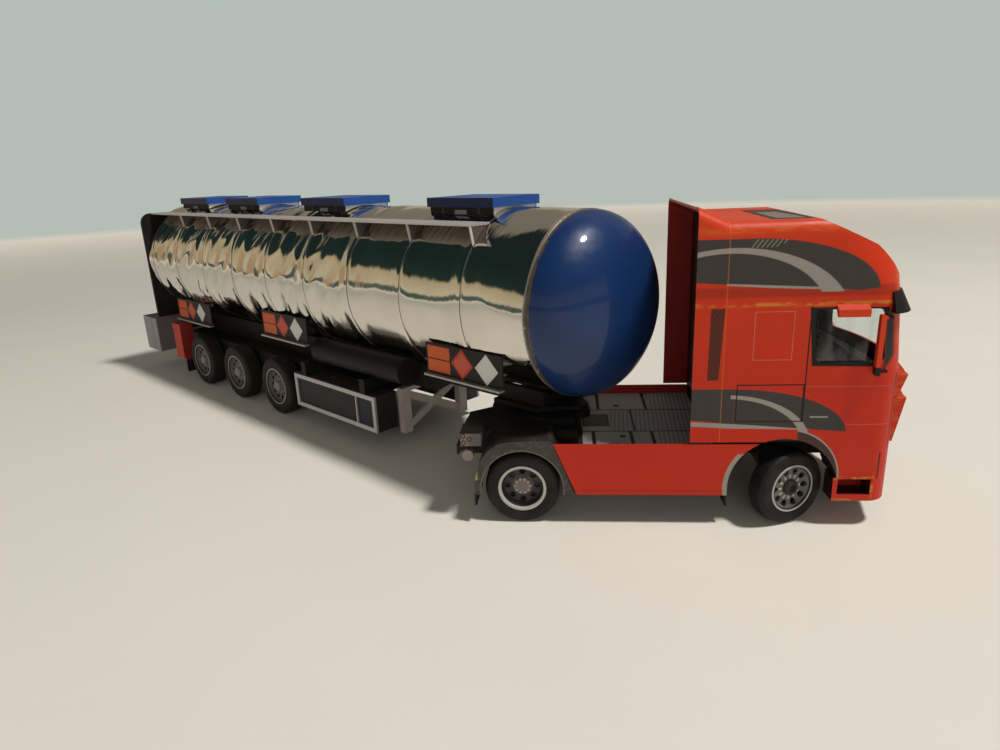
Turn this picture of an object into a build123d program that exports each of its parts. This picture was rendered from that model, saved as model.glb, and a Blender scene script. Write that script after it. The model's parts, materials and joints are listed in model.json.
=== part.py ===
from build123d import *
from math import sqrt
import os

# Articulated tanker lorry, a card model at about 1:50. All sizes in millimetres.
# Tractor frame: X forward, Y to the left, Z up, drive axle above X = 0, floor at Z = 0.
# Trailer frame: the same, with the kingpin at X = 0. It is turned about the kingpin at the end.

# Card and clearances
card = 0.6
thin_card = 0.3
running_gap = 0.05
fit_gap = 0.02
moving_gap = 0.3

# Pose in which the model stands
articulation = -37.9
steer_left = 25.0

# Tractor, driving sizes
tractor_width = 51.4
wheelbase = 68.5
tyre_radius = 10.2
tyre_width = 5.8
tyre_shoulder = 1.5
twin_width = 11.6
twin_groove = 0.9
twin_groove_depth = 2.5
rim_radius = 6.6
axle_radius = 1.0
wheel_inset = 0.5
rail_centre_y = 8.5
rail_width = 2.0
rail_bottom = 14.0
rail_top = 20.0
chassis_rear = -17.5

# Cab, placed along the tractor from the front axle
cab_rear = wheelbase - 16.7
cab_nose = wheelbase + 30.5
cab_nose_drop = 3.0
corner_line = cab_nose - 8.0
cab_floor_z = 24.0
cab_corner_radius = 6.0
screen_lean = 1.8
roof_seam = 60.0
shoulder_z = 77.4
roof_top = 80.0
roof_half_width = 21.5
roof_flat_end = wheelbase + 4.7
roof_slope_end = (wheelbase + 17.8, 73.7)
roof_nose_point = (wheelbase + 24.1, 67.3)
bumper_bottom = 7.4
bumper_top = 22.0
side_bottom = 14.0
arch_radius = 13.9
arch_centre_x = wheelbase - 0.2
arch_centre_z = 11.0
arch_liner_width = 9.6
collar_rear = cab_rear - 7.5
collar_bottom = 24.0
collar_lift = 3.6

# Cab openings
window_rear = corner_line - 18.2
window_front = corner_line - 2.1
window_bottom = 45.2
window_top = 58.6
window_lean = 1.3
window_corner = 1.5
screen_bottom = 43.4
screen_top = 57.6
screen_half_width = 22.3
film_lap = 0.6

# Front panels and visor, with how far their edges stand off the cab
grille_bottom = 22.9
grille_split = 35.0
grille_top = 40.8
grille_gap = 0.4
grille_half_width = 22.4
grille_low_edge = 0.5
grille_high_edge = (2.6, 2.3)
visor_bottom = 57.6
visor_top = 62.4
visor_rear = corner_line - 0.4
visor_low_edge = 2.3
visor_high_edge = 0.5

# Skirts, fenders and decks
skirt_bottom = 8.8
skirt_top = 23.4
skirt_rear_high = 8.7
skirt_rear_low = 14.8
fender_opening = 11.2
fender_foot = 8.6
rear_deck_top = 22.5
rear_deck_half = 12.9
rear_deck_front = 15.5
rear_notch = ((-11.0, 7.5), (chassis_rear, 3.0))
flap_drop = 4.8
front_flap_drop = 3.4
front_flap_width = 5.4

# Kingpin and fifth wheel
kingpin_x = 15.8
kingpin_radius = 1.5
kingpin_length = 2.0
fifth_wheel_length = 15.0
fifth_wheel_half = 9.5
fifth_wheel_nose = 3.6
fifth_wheel_thickness = 2.1
skid_plate_z = rear_deck_top + fifth_wheel_thickness + moving_gap
skid_plate_thickness = 1.2
skid_outline = ((-24.0, 11.5), (-7.0, 11.5), (-2.0, 5.0), (2.4, 2.0))

# Front axle and steering
steering_pin_y = 17.6
boss_radius = 1.25
boss_half = 1.5
pin_radius = 0.5
fork_thickness = 1.0
fork_play = 0.1
fork_web = 0.7
beam_half = 1.2
beam_seat_height = 1.5

# Tank
trailer_width = 50.4
tank_radius = 26.8
tank_axis_z = 56.6
tank_front = 3.4
tank_rear = -245.2
dome_depth = 16.0
dome_rim = 0.9
dome_step = 0.4
bulkhead_thickness = 1.5
bulkhead_bottom = 28.6
bulkhead_corner = 5.0

# Walkway and hatches
walkway_z = tank_axis_z + tank_radius - 3.4
walkway_outer_y = 21.5
walkway_front = -20.5
web_front = -21.0
web_pitch = 27.3
web_count = 8
web_low_z = 74.0
hatch_fronts = (-22.0, -95.8, -158.5, -206.2)
hatch_half_width = 10.4
hatch_length = 28.5
hatch_lid_z = walkway_z + 3.7
hatch_top = hatch_lid_z + 2.8
hatch_lip = 0.7

# Trailer frame and running gear
trailer_tyre_radius = 11.9
trailer_rim_radius = 7.6
trailer_tyre_width = 7.0
trailer_axle_x = -136.5
trailer_axle_pitch = 34.5
trailer_rail_y = 8.5
trailer_rail_bottom = 22.0
frame_front = -5.5
neck_end = -46.0
neck_slope = 8.0
cross_front = -7.0
cross_pitch = 28.0
cross_count = 9
guard_front = -122.0
guard_rear = -223.0
shelf_rear = -232.0
guard_outer_y = 17.8
guard_bottom = 10.0
guard_axle_gap = 3.0
locker_front = -68.3
locker_rear = -120.0
locker_top = 20.8
locker_bottom = 7.6
locker_depth = 9.4
locker_recess = 0.6
locker_border = 1.6
locker_split = -79.8
tube_radius = 4.7
tube_y = 19.4
tube_front = -55.4
tube_rear = -107.2
tube_bottom = 26.3
outrigger_x = (-114.0, -76.3)
outrigger_length = 3.0
leg_x = -66.4
leg_outer_y = 15.4
leg_width = 3.6
leg_length = 2.8
leg_bottom = 5.3
leg_cap = 1.5
brace_width = 3.0
rear_box_rear = -267.5
rear_box_front = -251.0
rear_box_half = 26.8
rear_box_bottom = 9.7
rear_box_top = 27.2
post_length = 8.0
post_front = -224.0
post_rear = post_front - post_length
post_outer_y = 26.0
post_inner_y = 19.5
post_bottom = 10.0
post_bar_height = 3.0
trailer_flap_bottom = 3.2
trailer_flap_width = 9.5
board_ledge = 1.5

# Shapes that are used again and again


def block(x0, x1, y0, y1, z0, z1):
    centre = ((x0 + x1) / 2, (y0 + y1) / 2, (z0 + z1) / 2)
    return Pos(*centre) * Box(x1 - x0, y1 - y0, z1 - z0)


def across(face, y0, y1):
    # A face drawn with X to the front and Y up becomes a solid from y0 to y1.
    return Pos(0, y1, 0) * Rot(90, 0, 0) * extrude(face, amount=y1 - y0)


def along(face, x0, x1):
    # A face drawn with X to the left and Y up becomes a solid from x0 to x1.
    return Pos(x0, 0, 0) * Plane.YZ.location * extrude(face, amount=x1 - x0)


def upright(face, z0, z1):
    return Pos(0, 0, z0) * extrude(face, amount=z1 - z0)


def polygon(*points):
    return make_face(Polyline(*points, close=True))


def disc(radius, x=0.0, y=0.0):
    return Pos(x, y) * Circle(radius)


def rod_y(radius, x, z, y0, y1):
    return across(disc(radius, x, z), y0, y1)


def rod_x(radius, y, z, x0, x1):
    return along(disc(radius, y, z), x0, x1)


def rod_z(radius, x, y, z0, z1):
    return upright(disc(radius, x, y), z0, z1)


def left_of(shape):
    return mirror(shape, about=Plane.XZ)


def both_sides(shape):
    return shape + left_of(shape)


def group(shapes):
    # Several solids in one node, each kept as it is
    return Compound(children=[solid for shape in shapes for solid in shape.solids()])


def pair(shape):
    return group([shape, left_of(shape)])


# Wheels: the outer face lies at Y = 0 and the wheel goes to +Y, which makes a right-hand wheel
wheel_table = {
    # wheel: rim radius, width, dish depth, hub radius, hub height, hole circle, hole radius
    "front": (rim_radius, tyre_width, 1.3, 2.1, 1.2, 4.2, 0.62),
    "drive": (rim_radius, twin_width, 2.6, 2.5, 0.9, 4.0, 0.72),
    "trailer": (trailer_rim_radius, trailer_tyre_width, 1.6, 2.2, 1.3, 4.8, 0.7),
}
hole_counts = {"front": 10, "drive": 8, "trailer": 10}
rim_flange = 0.7
rim_cone = 0.9
bead = 0.3
disc_thickness = 0.8


def tyre(radius, seat, width, twin):
    wall = seat + 1.0
    side = polygon((seat, bead), (wall, 0), (radius, 0), (radius, width), (wall, width), (seat, width - bead))
    side = fillet(side.vertices().group_by(Axis.X)[-1], tyre_shoulder)
    if twin:
        side = side - Pos(radius, width / 2) * Rectangle(2 * twin_groove_depth, twin_groove)
    return revolve(side, axis=Axis.Y)


def rim(kind, bore):
    # Flange, barrel and a dished disc with its hub and hand holes
    radius, width, dish, hub_radius, hub_height, hole_circle, hole_radius = wheel_table[kind]
    hole_pitch = 360 / hole_counts[kind]
    barrel = radius - rim_flange
    back = dish + disc_thickness
    hub_face = dish - hub_height
    outline = polygon(
        (bore, hub_face), (hub_radius - bead, hub_face), (hub_radius, hub_face + bead), (hub_radius, dish),
        (barrel - rim_cone, dish), (barrel, bead), (barrel, 0.1), (radius, 0.1), (radius, width - 0.1),
        (barrel, width - 0.1), (barrel, back), (bore, back))
    shape = revolve(outline, axis=Axis.Y)
    cutter = rod_y(hole_radius, hole_circle, 0, dish - 1, dish + 2)
    for index in range(hole_counts[kind]):
        shape = shape - Rot(0, index * hole_pitch, 0) * cutter
    return shape


wheel_face_y = tractor_width / 2 - wheel_inset


def front_wheel():
    return {
        "tyre": Pos(0, -wheel_face_y, 0) * tyre(tyre_radius, rim_radius + fit_gap, tyre_width, False),
        "rim": Pos(0, -wheel_face_y, 0) * rim("front", axle_radius + running_gap),
    }


def axle_set(kind, radius, face_y, twin):
    # Two wheels on one rod, with the axle at X = 0, Z = radius
    rim_outer, width, dish, hub_radius, hub_height = wheel_table[kind][:5]
    right_tyre = Pos(0, -face_y, 0) * tyre(radius, rim_outer + fit_gap, width, twin)
    right_rim = Pos(0, -face_y, 0) * rim(kind, axle_radius / 2)
    rod = across(disc(axle_radius), -face_y + dish - hub_height, face_y - dish + hub_height)
    return Pos(0, 0, radius) * pair(right_tyre), Pos(0, 0, radius) * (right_rim + left_of(right_rim) + rod)


# Tractor chassis: two rails, cross members, axle hangers and cab mounts
rail_inner = rail_centre_y - rail_width / 2
rail_outer = rail_centre_y + rail_width / 2
inner_half = tractor_width / 2 - card
chassis_front = corner_line
hanger_half = 3.0
hanger_drop = 2.6
seat_half = 2.0
cross_member_length = 2.0
cross_member_x = (chassis_rear, 7.0, 26.0, cab_rear - 5.8, wheelbase - 1.0, chassis_front - cross_member_length)
mount_length = 4.0


def tractor_chassis():
    rail = block(chassis_rear, chassis_front, rail_inner, rail_outer, rail_bottom, rail_top)
    hanger = block(-hanger_half, hanger_half, rail_inner, rail_outer, tyre_radius - hanger_drop, rail_bottom)
    bore = rod_y(axle_radius + running_gap, 0, tyre_radius, 0, tractor_width)
    seat_bottom = tyre_radius + beam_seat_height
    seat = block(wheelbase - seat_half, wheelbase + seat_half, rail_inner, rail_outer, seat_bottom, rail_bottom)
    shapes = [pair(rail), pair(hanger - bore), pair(seat)]
    for x in cross_member_x:
        shapes.append(block(x, x + cross_member_length, -rail_inner, rail_inner, rail_bottom + 1, rail_top - 1))
    for x in (cab_rear + mount_length, chassis_front - 2 * mount_length):
        shapes.append(pair(block(x, x + mount_length, rail_inner, rail_outer, rail_top, cab_floor_z)))
    return group(shapes)


def chassis_deck():
    return block(rear_deck_front, cab_rear, -inner_half, inner_half, rail_top, rail_top + card)


def rear_deck():
    # The far rear corner of this deck is cut away
    rear_left = (rear_notch[0][0], rear_deck_half)
    face = polygon(
        (chassis_rear, -rear_deck_half), (rear_deck_front, -rear_deck_half), (rear_deck_front, rear_deck_half),
        rear_left, *rear_notch)
    return upright(face, rail_top, rear_deck_top)


def skirt_right():
    low = ((skirt_rear_low, skirt_bottom), (arch_centre_x, skirt_bottom))
    face = polygon(*low, (arch_centre_x, skirt_top), (skirt_rear_high, skirt_top))
    face = face - disc(arch_radius, arch_centre_x, arch_centre_z)
    return across(face, -tractor_width / 2, -inner_half)


fender_outline = (
    # X, Z from the rear edge over the top to the front edge
    (-13.2, fender_foot), (-12.8, 13.4), (-11.5, 18.1), (-9.7, 20.8), (-6.8, 23.1), (-3.8, 23.9),
    (7.4, 24.2), (8.5, 23.6), (14.4, fender_foot))
fender_inner_y = -rear_deck_half


def fender_right():
    # A printed face with a round opening, and the folded strip that covers the tyres
    outer_y = -tractor_width / 2
    outline = polygon(*fender_outline)
    foot = Pos(0, fender_foot) * Rectangle(2 * fender_opening, 2 * (tyre_radius - fender_foot))
    face = outline - disc(fender_opening, 0, tyre_radius) - foot
    shrink = 1 - card / fender_opening
    strip = outline - polygon(*[(x * shrink, z - card) for x, z in fender_outline])
    return across(face, outer_y, outer_y + card) + across(strip, outer_y, fender_inner_y)


def fifth_wheel():
    slot = 2 * (kingpin_radius + moving_gap)
    half = fifth_wheel_half
    rear = ((kingpin_x - fifth_wheel_length, half - 3), (kingpin_x - fifth_wheel_length, 3 - half))
    plate = polygon(*rear, (kingpin_x - 9, -half), (kingpin_x - 1, 1 - half), (kingpin_x - 1, half - 1), (kingpin_x - 9, half))
    plate = plate + disc(fifth_wheel_nose, kingpin_x, 0)
    throat = Pos(kingpin_x - fifth_wheel_length, 0) * Rectangle(2 * fifth_wheel_length, slot) + disc(slot / 2, kingpin_x, 0)
    return upright(plate - throat, rear_deck_top, rear_deck_top + fifth_wheel_thickness)


lamp_outer_y = 22.6
lamp_inner_y = 16.0
lamp_bottom = 21.7
lamp_top = 25.8
lamp_rear = chassis_rear + 0.7
lamp_front = lamp_rear + 5.7
round_lamp_radius = 1.55
round_lamp_x = lamp_rear + 1.8
round_lamp_z = 18.9
round_lamp_depth = 2.5


def tail_lamps():
    # Only the right-hand set is there: the deck's left rear corner is cut away
    rear = chassis_rear - card
    cluster = block(lamp_rear, lamp_front, -lamp_outer_y, -lamp_inner_y, lamp_bottom, lamp_top)
    plate = block(rear, chassis_rear, -lamp_outer_y + 1, 0, round_lamp_z, lamp_bottom)
    round_lamp = rod_y(round_lamp_radius, round_lamp_x, round_lamp_z, -lamp_outer_y, round_lamp_depth - lamp_outer_y)
    stay = block(rear, round_lamp_x, -lamp_outer_y + 1, -lamp_outer_y + 2, round_lamp_z + 1, lamp_bottom)
    return cluster + plate + round_lamp + stay


def mud_flaps():
    rear_x = fender_outline[0][0]
    rear = block(rear_x, rear_x + card, -tractor_width / 2, fender_inner_y, tyre_radius - flap_drop, fender_foot)
    front_x = arch_centre_x - arch_radius - card / 2
    front_top = skirt_bottom + 4
    front_inner = -inner_half + front_flap_width
    front = block(front_x, front_x + card, -inner_half, front_inner, skirt_bottom - front_flap_drop, front_top)
    return group([pair(rear), pair(front)])


# Front axle and knuckles
fork_web_y = steering_pin_y + boss_radius + moving_gap
spindle_end = wheel_face_y - wheel_table["front"][2] + wheel_table["front"][4] - 0.2


def front_axle():
    low = tyre_radius - 1
    high = tyre_radius + 1
    beam = block(wheelbase - beam_half, wheelbase + beam_half, -steering_pin_y, steering_pin_y, low, high)
    pad_top = tyre_radius + beam_seat_height
    pad = block(wheelbase - seat_half, wheelbase + seat_half, rail_inner, rail_outer, high, pad_top)
    boss = rod_z(boss_radius, wheelbase, steering_pin_y, tyre_radius - boss_half, tyre_radius + boss_half)
    bore = rod_z(pin_radius + running_gap, wheelbase, steering_pin_y, 0, 2 * tyre_radius)
    return beam + both_sides(pad) + both_sides(boss) - both_sides(bore)


def knuckle_left():
    rear = wheelbase - boss_radius
    front = wheelbase + boss_radius
    low = tyre_radius - boss_half - fork_play
    high = tyre_radius + boss_half + fork_play
    outer = fork_web_y + fork_web
    fork = block(rear, front, steering_pin_y - 0.9, outer, low - fork_thickness, high + fork_thickness)
    gap = block(rear - 1, front + 1, 0, fork_web_y, low, high)
    pin = rod_z(pin_radius, wheelbase, steering_pin_y, low, high)
    spindle = rod_y(axle_radius, wheelbase, tyre_radius, outer, spindle_end)
    return fork - gap + pin + spindle


# Cab: an envelope lofted through plan sections, hollowed, and parted into its panels
plan_table = (
    # height, corner radius
    (bumper_bottom, cab_corner_radius),
    (grille_bottom, cab_corner_radius),
    (grille_top, cab_corner_radius),
    (roof_seam, cab_corner_radius),
    (67.0, 11.5),
    (shoulder_z, 19.0),
    (roof_top + 2, 19.0),
)


def nose_at(z):
    # Above the grille the front leans back a little towards the roof
    return cab_nose - screen_lean * max(0, z - grille_top) / (roof_seam - grille_top)


def radius_at(z):
    for (low, radius), (high, next_radius) in zip(plan_table, plan_table[1:]):
        if z <= high:
            return radius + (next_radius - radius) * (z - low) / (high - low)
    return plan_table[-1][1]


def plan(z, inset):
    # Outline of the cab at one height, with a bowed front and round front corners
    half = tractor_width / 2 - inset
    radius = radius_at(z) - inset
    nose_x = nose_at(z) - inset
    front_half = half - radius
    corner_x = nose_x - cab_nose_drop * (front_half / (tractor_width / 2 - cab_corner_radius)) ** 2
    mid = radius * (1 - sqrt(0.5))
    side_x = corner_x - radius
    front = ThreePointArc((corner_x, -front_half), (nose_x, 0), (corner_x, front_half))
    left = ThreePointArc((corner_x, front_half), (corner_x - mid, half - mid), (side_x, half))
    right = ThreePointArc((side_x, -half), (corner_x - mid, -half + mid), (corner_x, -front_half))
    rest = Polyline((side_x, half), (cab_rear, half), (cab_rear, -half), (side_x, -half))
    return Pos(0, 0, z) * make_face([front, left, rest, right])


def section_yz(inset, lift=0):
    # Cab section seen from the front: upright sides, round shoulders and a flat roof
    half = tractor_width / 2 - inset
    top = roof_top - inset + lift
    side_top = shoulder_z + lift
    shoulder = ((half + roof_half_width) / 2 + 0.9, (side_top + top) / 2 + 0.8)
    roof = Polyline((roof_half_width, top), (-roof_half_width, top))
    left = ThreePointArc((-roof_half_width, top), (-shoulder[0], shoulder[1]), (-half, side_top))
    base = Polyline((-half, side_top), (-half, 0), (half, 0), (half, side_top))
    right = ThreePointArc((half, side_top), shoulder, (roof_half_width, top))
    return make_face([roof, left, base, right])


def profile_xz(inset):
    # Cab side view: a flat roof, a long slope, and one round sweep down to the nose
    top = roof_top - inset
    rear = cab_rear - 20
    front = cab_nose + 10
    low = roof_seam - 0.1
    slope_end = (roof_slope_end[0] - inset * 0.4, roof_slope_end[1] - inset * 0.9)
    middle = (roof_nose_point[0] - inset * 0.75, roof_nose_point[1] - inset * 0.65)
    nose = (nose_at(roof_seam) - inset, low)
    crown = Polyline((rear, top), (roof_flat_end, top), slope_end)
    sweep = ThreePointArc(slope_end, middle, nose)
    rest = Polyline(nose, (front, low), (front, 0), (rear, 0), (rear, top))
    return make_face([crown, sweep, rest])


def cab_envelope(inset):
    shape = loft([plan(z, inset) for z, radius in plan_table], ruled=True)
    shape = shape & along(section_yz(inset), 0, cab_nose + 10)
    return shape & across(profile_xz(inset), -tractor_width, tractor_width)


cab_body = cab_envelope(0)
cab_shell = cab_body - cab_envelope(card)
wide = tractor_width
forward = cab_nose + 5


def proud_band(low, low_edge, high, high_edge, rear, half_width):
    # A plate that hugs the cab's front and stands off it by its two edge values
    levels = sorted({low, high} | {z for z, radius in plan_table if low < z < high})
    sections = []
    for z in levels:
        edge = low_edge + (high_edge - low_edge) * (z - low) / (high - low)
        sections.append(plan(z, -edge))
    return (loft(sections, ruled=True) & block(rear, forward, -half_width, half_width, low, high)) - cab_body


def cab_roof():
    return cab_shell & block(cab_rear, forward, -wide, wide, roof_seam, roof_top + 5)


def cab_side_right():
    shape = cab_shell & block(cab_rear, corner_line, -wide, -inner_half + 2, side_bottom, roof_seam)
    shape = shape - block(cab_rear - 1, arch_centre_x, -wide, 0, 0, cab_floor_z)
    shape = shape - rod_y(arch_radius, arch_centre_x, arch_centre_z, -wide, 0)
    low = ((window_rear + window_lean, window_bottom), (window_front + window_lean, window_bottom))
    window = polygon(*low, (window_front, window_top), (window_rear, window_top))
    return shape - across(fillet(window.vertices(), window_corner), -wide, 0)


def cab_front():
    shape = cab_shell & block(corner_line, forward, -wide, wide, bumper_top, roof_seam)
    half = screen_half_width
    screen = polygon((-half, screen_bottom), (half, screen_bottom), (half - 1, screen_top), (1 - half, screen_top))
    shape = shape - along(fillet(screen.vertices(), window_corner), corner_line, forward)
    bands = ((grille_bottom, grille_split - grille_gap), (grille_split, grille_top))
    for (low, high), edge in zip(bands, grille_high_edge):
        shape = shape + proud_band(low, grille_low_edge, high, edge, corner_line + 1, grille_half_width)
    return shape


def bumper():
    return cab_shell & block(corner_line, forward, -wide, wide, bumper_bottom, bumper_top)


step_rear = corner_line - 9.8
step_depth = 6.0
step_wall = 1.2
step_front_wall = 0.4
step_floor = 1.9


def step_right():
    outer_y = -tractor_width / 2
    inner_y = outer_y + step_depth
    front = corner_line - fit_gap
    box = block(step_rear, front, outer_y, inner_y, bumper_bottom, side_bottom - fit_gap)
    well_top = side_bottom - step_front_wall
    well_front = front - step_front_wall
    well = block(step_rear + step_wall, well_front, outer_y - 1, inner_y - card, bumper_bottom + step_floor, well_top)
    return box - well


def cab_rear_wall():
    low = cab_floor_z + card
    face = section_yz(card + fit_gap) & Pos(0, low + roof_top / 2) * Rectangle(2 * wide, roof_top)
    return along(face, cab_rear, cab_rear + card)


def cab_floor():
    half = inner_half - fit_gap
    return block(cab_rear, corner_line - 2, -half, half, cab_floor_z, cab_floor_z + card)


def collar_section(x, inset, lift=0):
    return Pos(x, 0, 0) * Plane.YZ.location * section_yz(inset, lift)


def collar_right():
    # The deflector behind the cab: half of a hood whose top rises to the rear
    outer = loft([collar_section(collar_rear, 0, collar_lift), collar_section(cab_rear, 0)], ruled=True)
    inner = loft([collar_section(collar_rear, card, collar_lift), collar_section(cab_rear, card)], ruled=True)
    return (outer - inner) & block(collar_rear, cab_rear, -wide, -fit_gap / 2, collar_bottom, roof_top + 2 * collar_lift)


def sun_visor():
    return proud_band(visor_bottom, visor_low_edge, visor_top, visor_high_edge, visor_rear, wide)


mirror_rear = corner_line - 3.6
mirror_length = 1.2
mirror_gap = 0.7
mirror_depth = 1.5
mirror_bottom = 42.2
mirror_top = 57.4
mirror_arm_z = (42.8, 56.2)
kerb_mirror = (corner_line - 13.4, corner_line - 6.0, 57.0, 58.8)
kerb_reach = 1.9


def mirror_right():
    # A tall mirror on two cranked arms, and the kerb mirror above the door
    body_y = -tractor_width / 2
    front = mirror_rear + mirror_length
    inner_y = body_y - mirror_gap
    head = block(mirror_rear, front, inner_y - mirror_depth, inner_y, mirror_bottom, mirror_top)
    head = fillet(head.edges().filter_by(Axis.Y), 0.4)
    for z in mirror_arm_z:
        head = head + block(front - card, visor_rear, inner_y - card, inner_y, z, z + card)
        head = head + block(visor_rear - card, visor_rear, inner_y - card, body_y, z, z + card)
    kerb_rear, kerb_front, low, high = kerb_mirror
    outer = body_y - kerb_reach
    kerb = polygon((body_y, high + 1), (outer, high), (outer, low), (outer + card, low), (body_y, high + 0.2))
    return group([head, along(kerb, kerb_rear, kerb_front)])


steering_wheel = (corner_line - 6.6, 11.5, 43.6)
steering_tilt = -62
dash_rear = corner_line - 5.0
dash_hood = (corner_line - 2.0, 42.9)
dash_bottom = 37.0
dash_front_top = 39.5
dash_rear_top = 41.5


def dashboard():
    front = cab_nose - 2
    low = ((dash_rear, dash_bottom), (front, dash_bottom), (front, dash_front_top))
    face = polygon(*low, dash_hood, (dash_rear, dash_rear_top))
    board = across(face, -inner_half, inner_half) & cab_envelope(card + thin_card)
    rim_and_column = Torus(4.0, 0.4) + Box(0.8, 8.0, 0.5) + Pos(0, 0, -2.2) * Cylinder(0.6, 5.0)
    return board + Pos(*steering_wheel) * Rot(0, steering_tilt, 0) * rim_and_column


seat_rear = cab_rear + 20.2
seat_back_length = 2.5
seat_cushion_length = 8.5
seat_inner_y = 7.0
seat_outer_y = 17.5
seat_bottom = 30.0
seat_cushion_top = 34.0
seat_back_top = 50.0
seat_base_inset = 2.0


def seats():
    front = seat_rear + seat_back_length
    back = block(seat_rear, front, -seat_outer_y, -seat_inner_y, seat_bottom, seat_back_top)
    cushion = block(front, front + seat_cushion_length, -seat_outer_y, -seat_inner_y, seat_bottom, seat_cushion_top)
    base_x = (seat_rear + seat_base_inset, front + seat_cushion_length - 1)
    base_y = (seat_base_inset - seat_outer_y, -seat_inner_y - seat_base_inset)
    return pair(back + cushion + block(*base_x, *base_y, cab_floor_z + card, seat_bottom))


def window_film():
    # Clear film glued behind the side windows and the windscreen
    film = cab_envelope(card + fit_gap) - cab_envelope(card + thin_card)
    side_front = corner_line - fit_gap
    sides = film & block(window_rear - film_lap, side_front, -wide, wide, window_bottom - film_lap, window_top + film_lap)
    screen = film & block(corner_line, forward, -wide, wide, screen_bottom - film_lap / 2, screen_top + film_lap)
    return group([sides, screen])


def arch_liner_right():
    # The curved strip over a front wheel, glued behind the skirt's edge and the cab's side
    ring = disc(arch_radius + card, arch_centre_x, arch_centre_z) - disc(arch_radius, arch_centre_x, arch_centre_z)
    height = cab_floor_z - fit_gap - side_bottom
    keep = Pos(arch_centre_x, side_bottom + height / 2) * Rectangle(4 * arch_radius, height)
    return across(ring & keep, -inner_half, -inner_half + arch_liner_width)


# Trailer
axle_places = [trailer_axle_x - index * trailer_axle_pitch for index in range(3)]
tank_cutter = rod_x(tank_radius + fit_gap, 0, tank_axis_z, tank_rear - 5, tank_front)


def tank_height(y):
    return sqrt(tank_radius ** 2 - y ** 2)


def tank_half_width(z):
    return sqrt(tank_radius ** 2 - (z - tank_axis_z) ** 2)


def tank_barrel():
    return rod_x(tank_radius, 0, tank_axis_z, tank_rear, tank_front)


def tank_dome():
    # A half ellipsoid on a short round rim
    radius = tank_radius - dome_step
    arc = EllipticalCenterArc((dome_rim, 0), dome_depth, radius, start_angle=0, arc_size=90)
    rest = Polyline((dome_rim, radius), (0, radius), (0, 0), (dome_rim + dome_depth, 0))
    return Pos(tank_front, 0, tank_axis_z) * revolve(make_face([arc, rest]), axis=Axis.X)


def rear_bulkhead():
    half = tank_radius
    low = bulkhead_bottom
    face = polygon((-half, low), (half, low), (half, walkway_z), (-half, walkway_z))
    face = fillet(face.vertices().group_by(Axis.Y)[-1], bulkhead_corner)
    return along(face, tank_rear - bulkhead_thickness, tank_rear)


def walkway():
    # Two strips beside the hatches, each on a row of webs that stand on the tank
    under = walkway_z - card
    inner_y = 1 - tank_half_width(under)
    shape = block(tank_rear, walkway_front, -walkway_outer_y, inner_y, under, walkway_z)
    web = polygon((-walkway_outer_y, under), (inner_y, under), (-tank_half_width(web_low_z), web_low_z))
    for index in range(web_count):
        x = web_front - index * web_pitch
        shape = shape + along(web, x, x + thin_card)
    return both_sides(shape - tank_cutter)


def hatch_boxes():
    half = hatch_half_width - hatch_lip
    low = tank_axis_z + tank_height(hatch_half_width) - 1
    shapes = []
    for front in hatch_fronts:
        box = block(front - hatch_length + hatch_lip, front - hatch_lip, -half, half, low, hatch_lid_z)
        shapes.append(box - tank_cutter)
    return group(shapes)


def hatch_lids():
    half = hatch_half_width
    return group([block(front - hatch_length, front, -half, half, hatch_lid_z, hatch_top) for front in hatch_fronts])


trailer_rail_inner = trailer_rail_y - 1
trailer_rail_outer = trailer_rail_y + 1
rail_saddle = tank_axis_z - tank_height(trailer_rail_inner) - fit_gap
neck_bottom = skid_plate_z + skid_plate_thickness
locker_outer_y = trailer_width / 2


def trailer_frame():
    # Rails with a raised neck, cross members, outriggers, axle hangers and the guards inside the wheels
    inner = trailer_rail_inner
    outer = trailer_rail_outer
    low = trailer_rail_bottom
    neck = polygon((frame_front, neck_bottom), (frame_front, rail_saddle), (neck_end, rail_saddle), (neck_end, neck_bottom))
    rail_rear = ((tank_rear, rail_saddle), (tank_rear, low), (neck_end - neck_slope, low))
    stub = block(rear_box_front, tank_rear, inner, outer, low, rear_box_top)
    rail = polygon((neck_end, neck_bottom), (neck_end, rail_saddle), *rail_rear)
    shapes = [pair(across(neck, inner, outer)), pair(across(rail, inner, outer)), pair(stub)]
    for index in range(cross_count):
        x = cross_front - index * cross_pitch
        cross_low = neck_bottom if x > neck_end else low + 1
        shapes.append(block(x - cross_member_length, x, -inner, inner, cross_low, rail_saddle - 2))
    for x in outrigger_x:
        shapes.append(pair(block(x, x + outrigger_length, outer, locker_outer_y, locker_top, tube_bottom)))
    bar_low = rear_box_top - post_bar_height
    shapes.append(pair(block(post_rear + 2, post_front - 2, outer, post_inner_y, bar_low, rear_box_top)))
    shelf_low = low - card
    shelf_ends = [shelf_rear]
    for x in outrigger_x:
        shelf_ends += [x, x + outrigger_length]
    shelf_ends.append(locker_front)
    for rear, front in zip(shelf_ends[::2], shelf_ends[1::2]):
        shapes.append(block(rear, front, -guard_outer_y, guard_outer_y, shelf_low, low))
    guard_ends = [guard_front]
    for x in axle_places:
        guard_ends += [x + guard_axle_gap / 2, x - guard_axle_gap / 2]
    guard_ends.append(guard_rear)
    for front, rear in zip(guard_ends[::2], guard_ends[1::2]):
        shapes.append(pair(block(rear, front, guard_outer_y - card, guard_outer_y, guard_bottom, shelf_low)))
    for x in axle_places:
        hanger = block(x - hanger_half, x + hanger_half, inner, outer, trailer_tyre_radius - hanger_drop, shelf_low)
        bore = rod_y(axle_radius + running_gap, x, trailer_tyre_radius, 0, trailer_width)
        shapes.append(pair(hanger - bore))
    return group(shapes)


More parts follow.
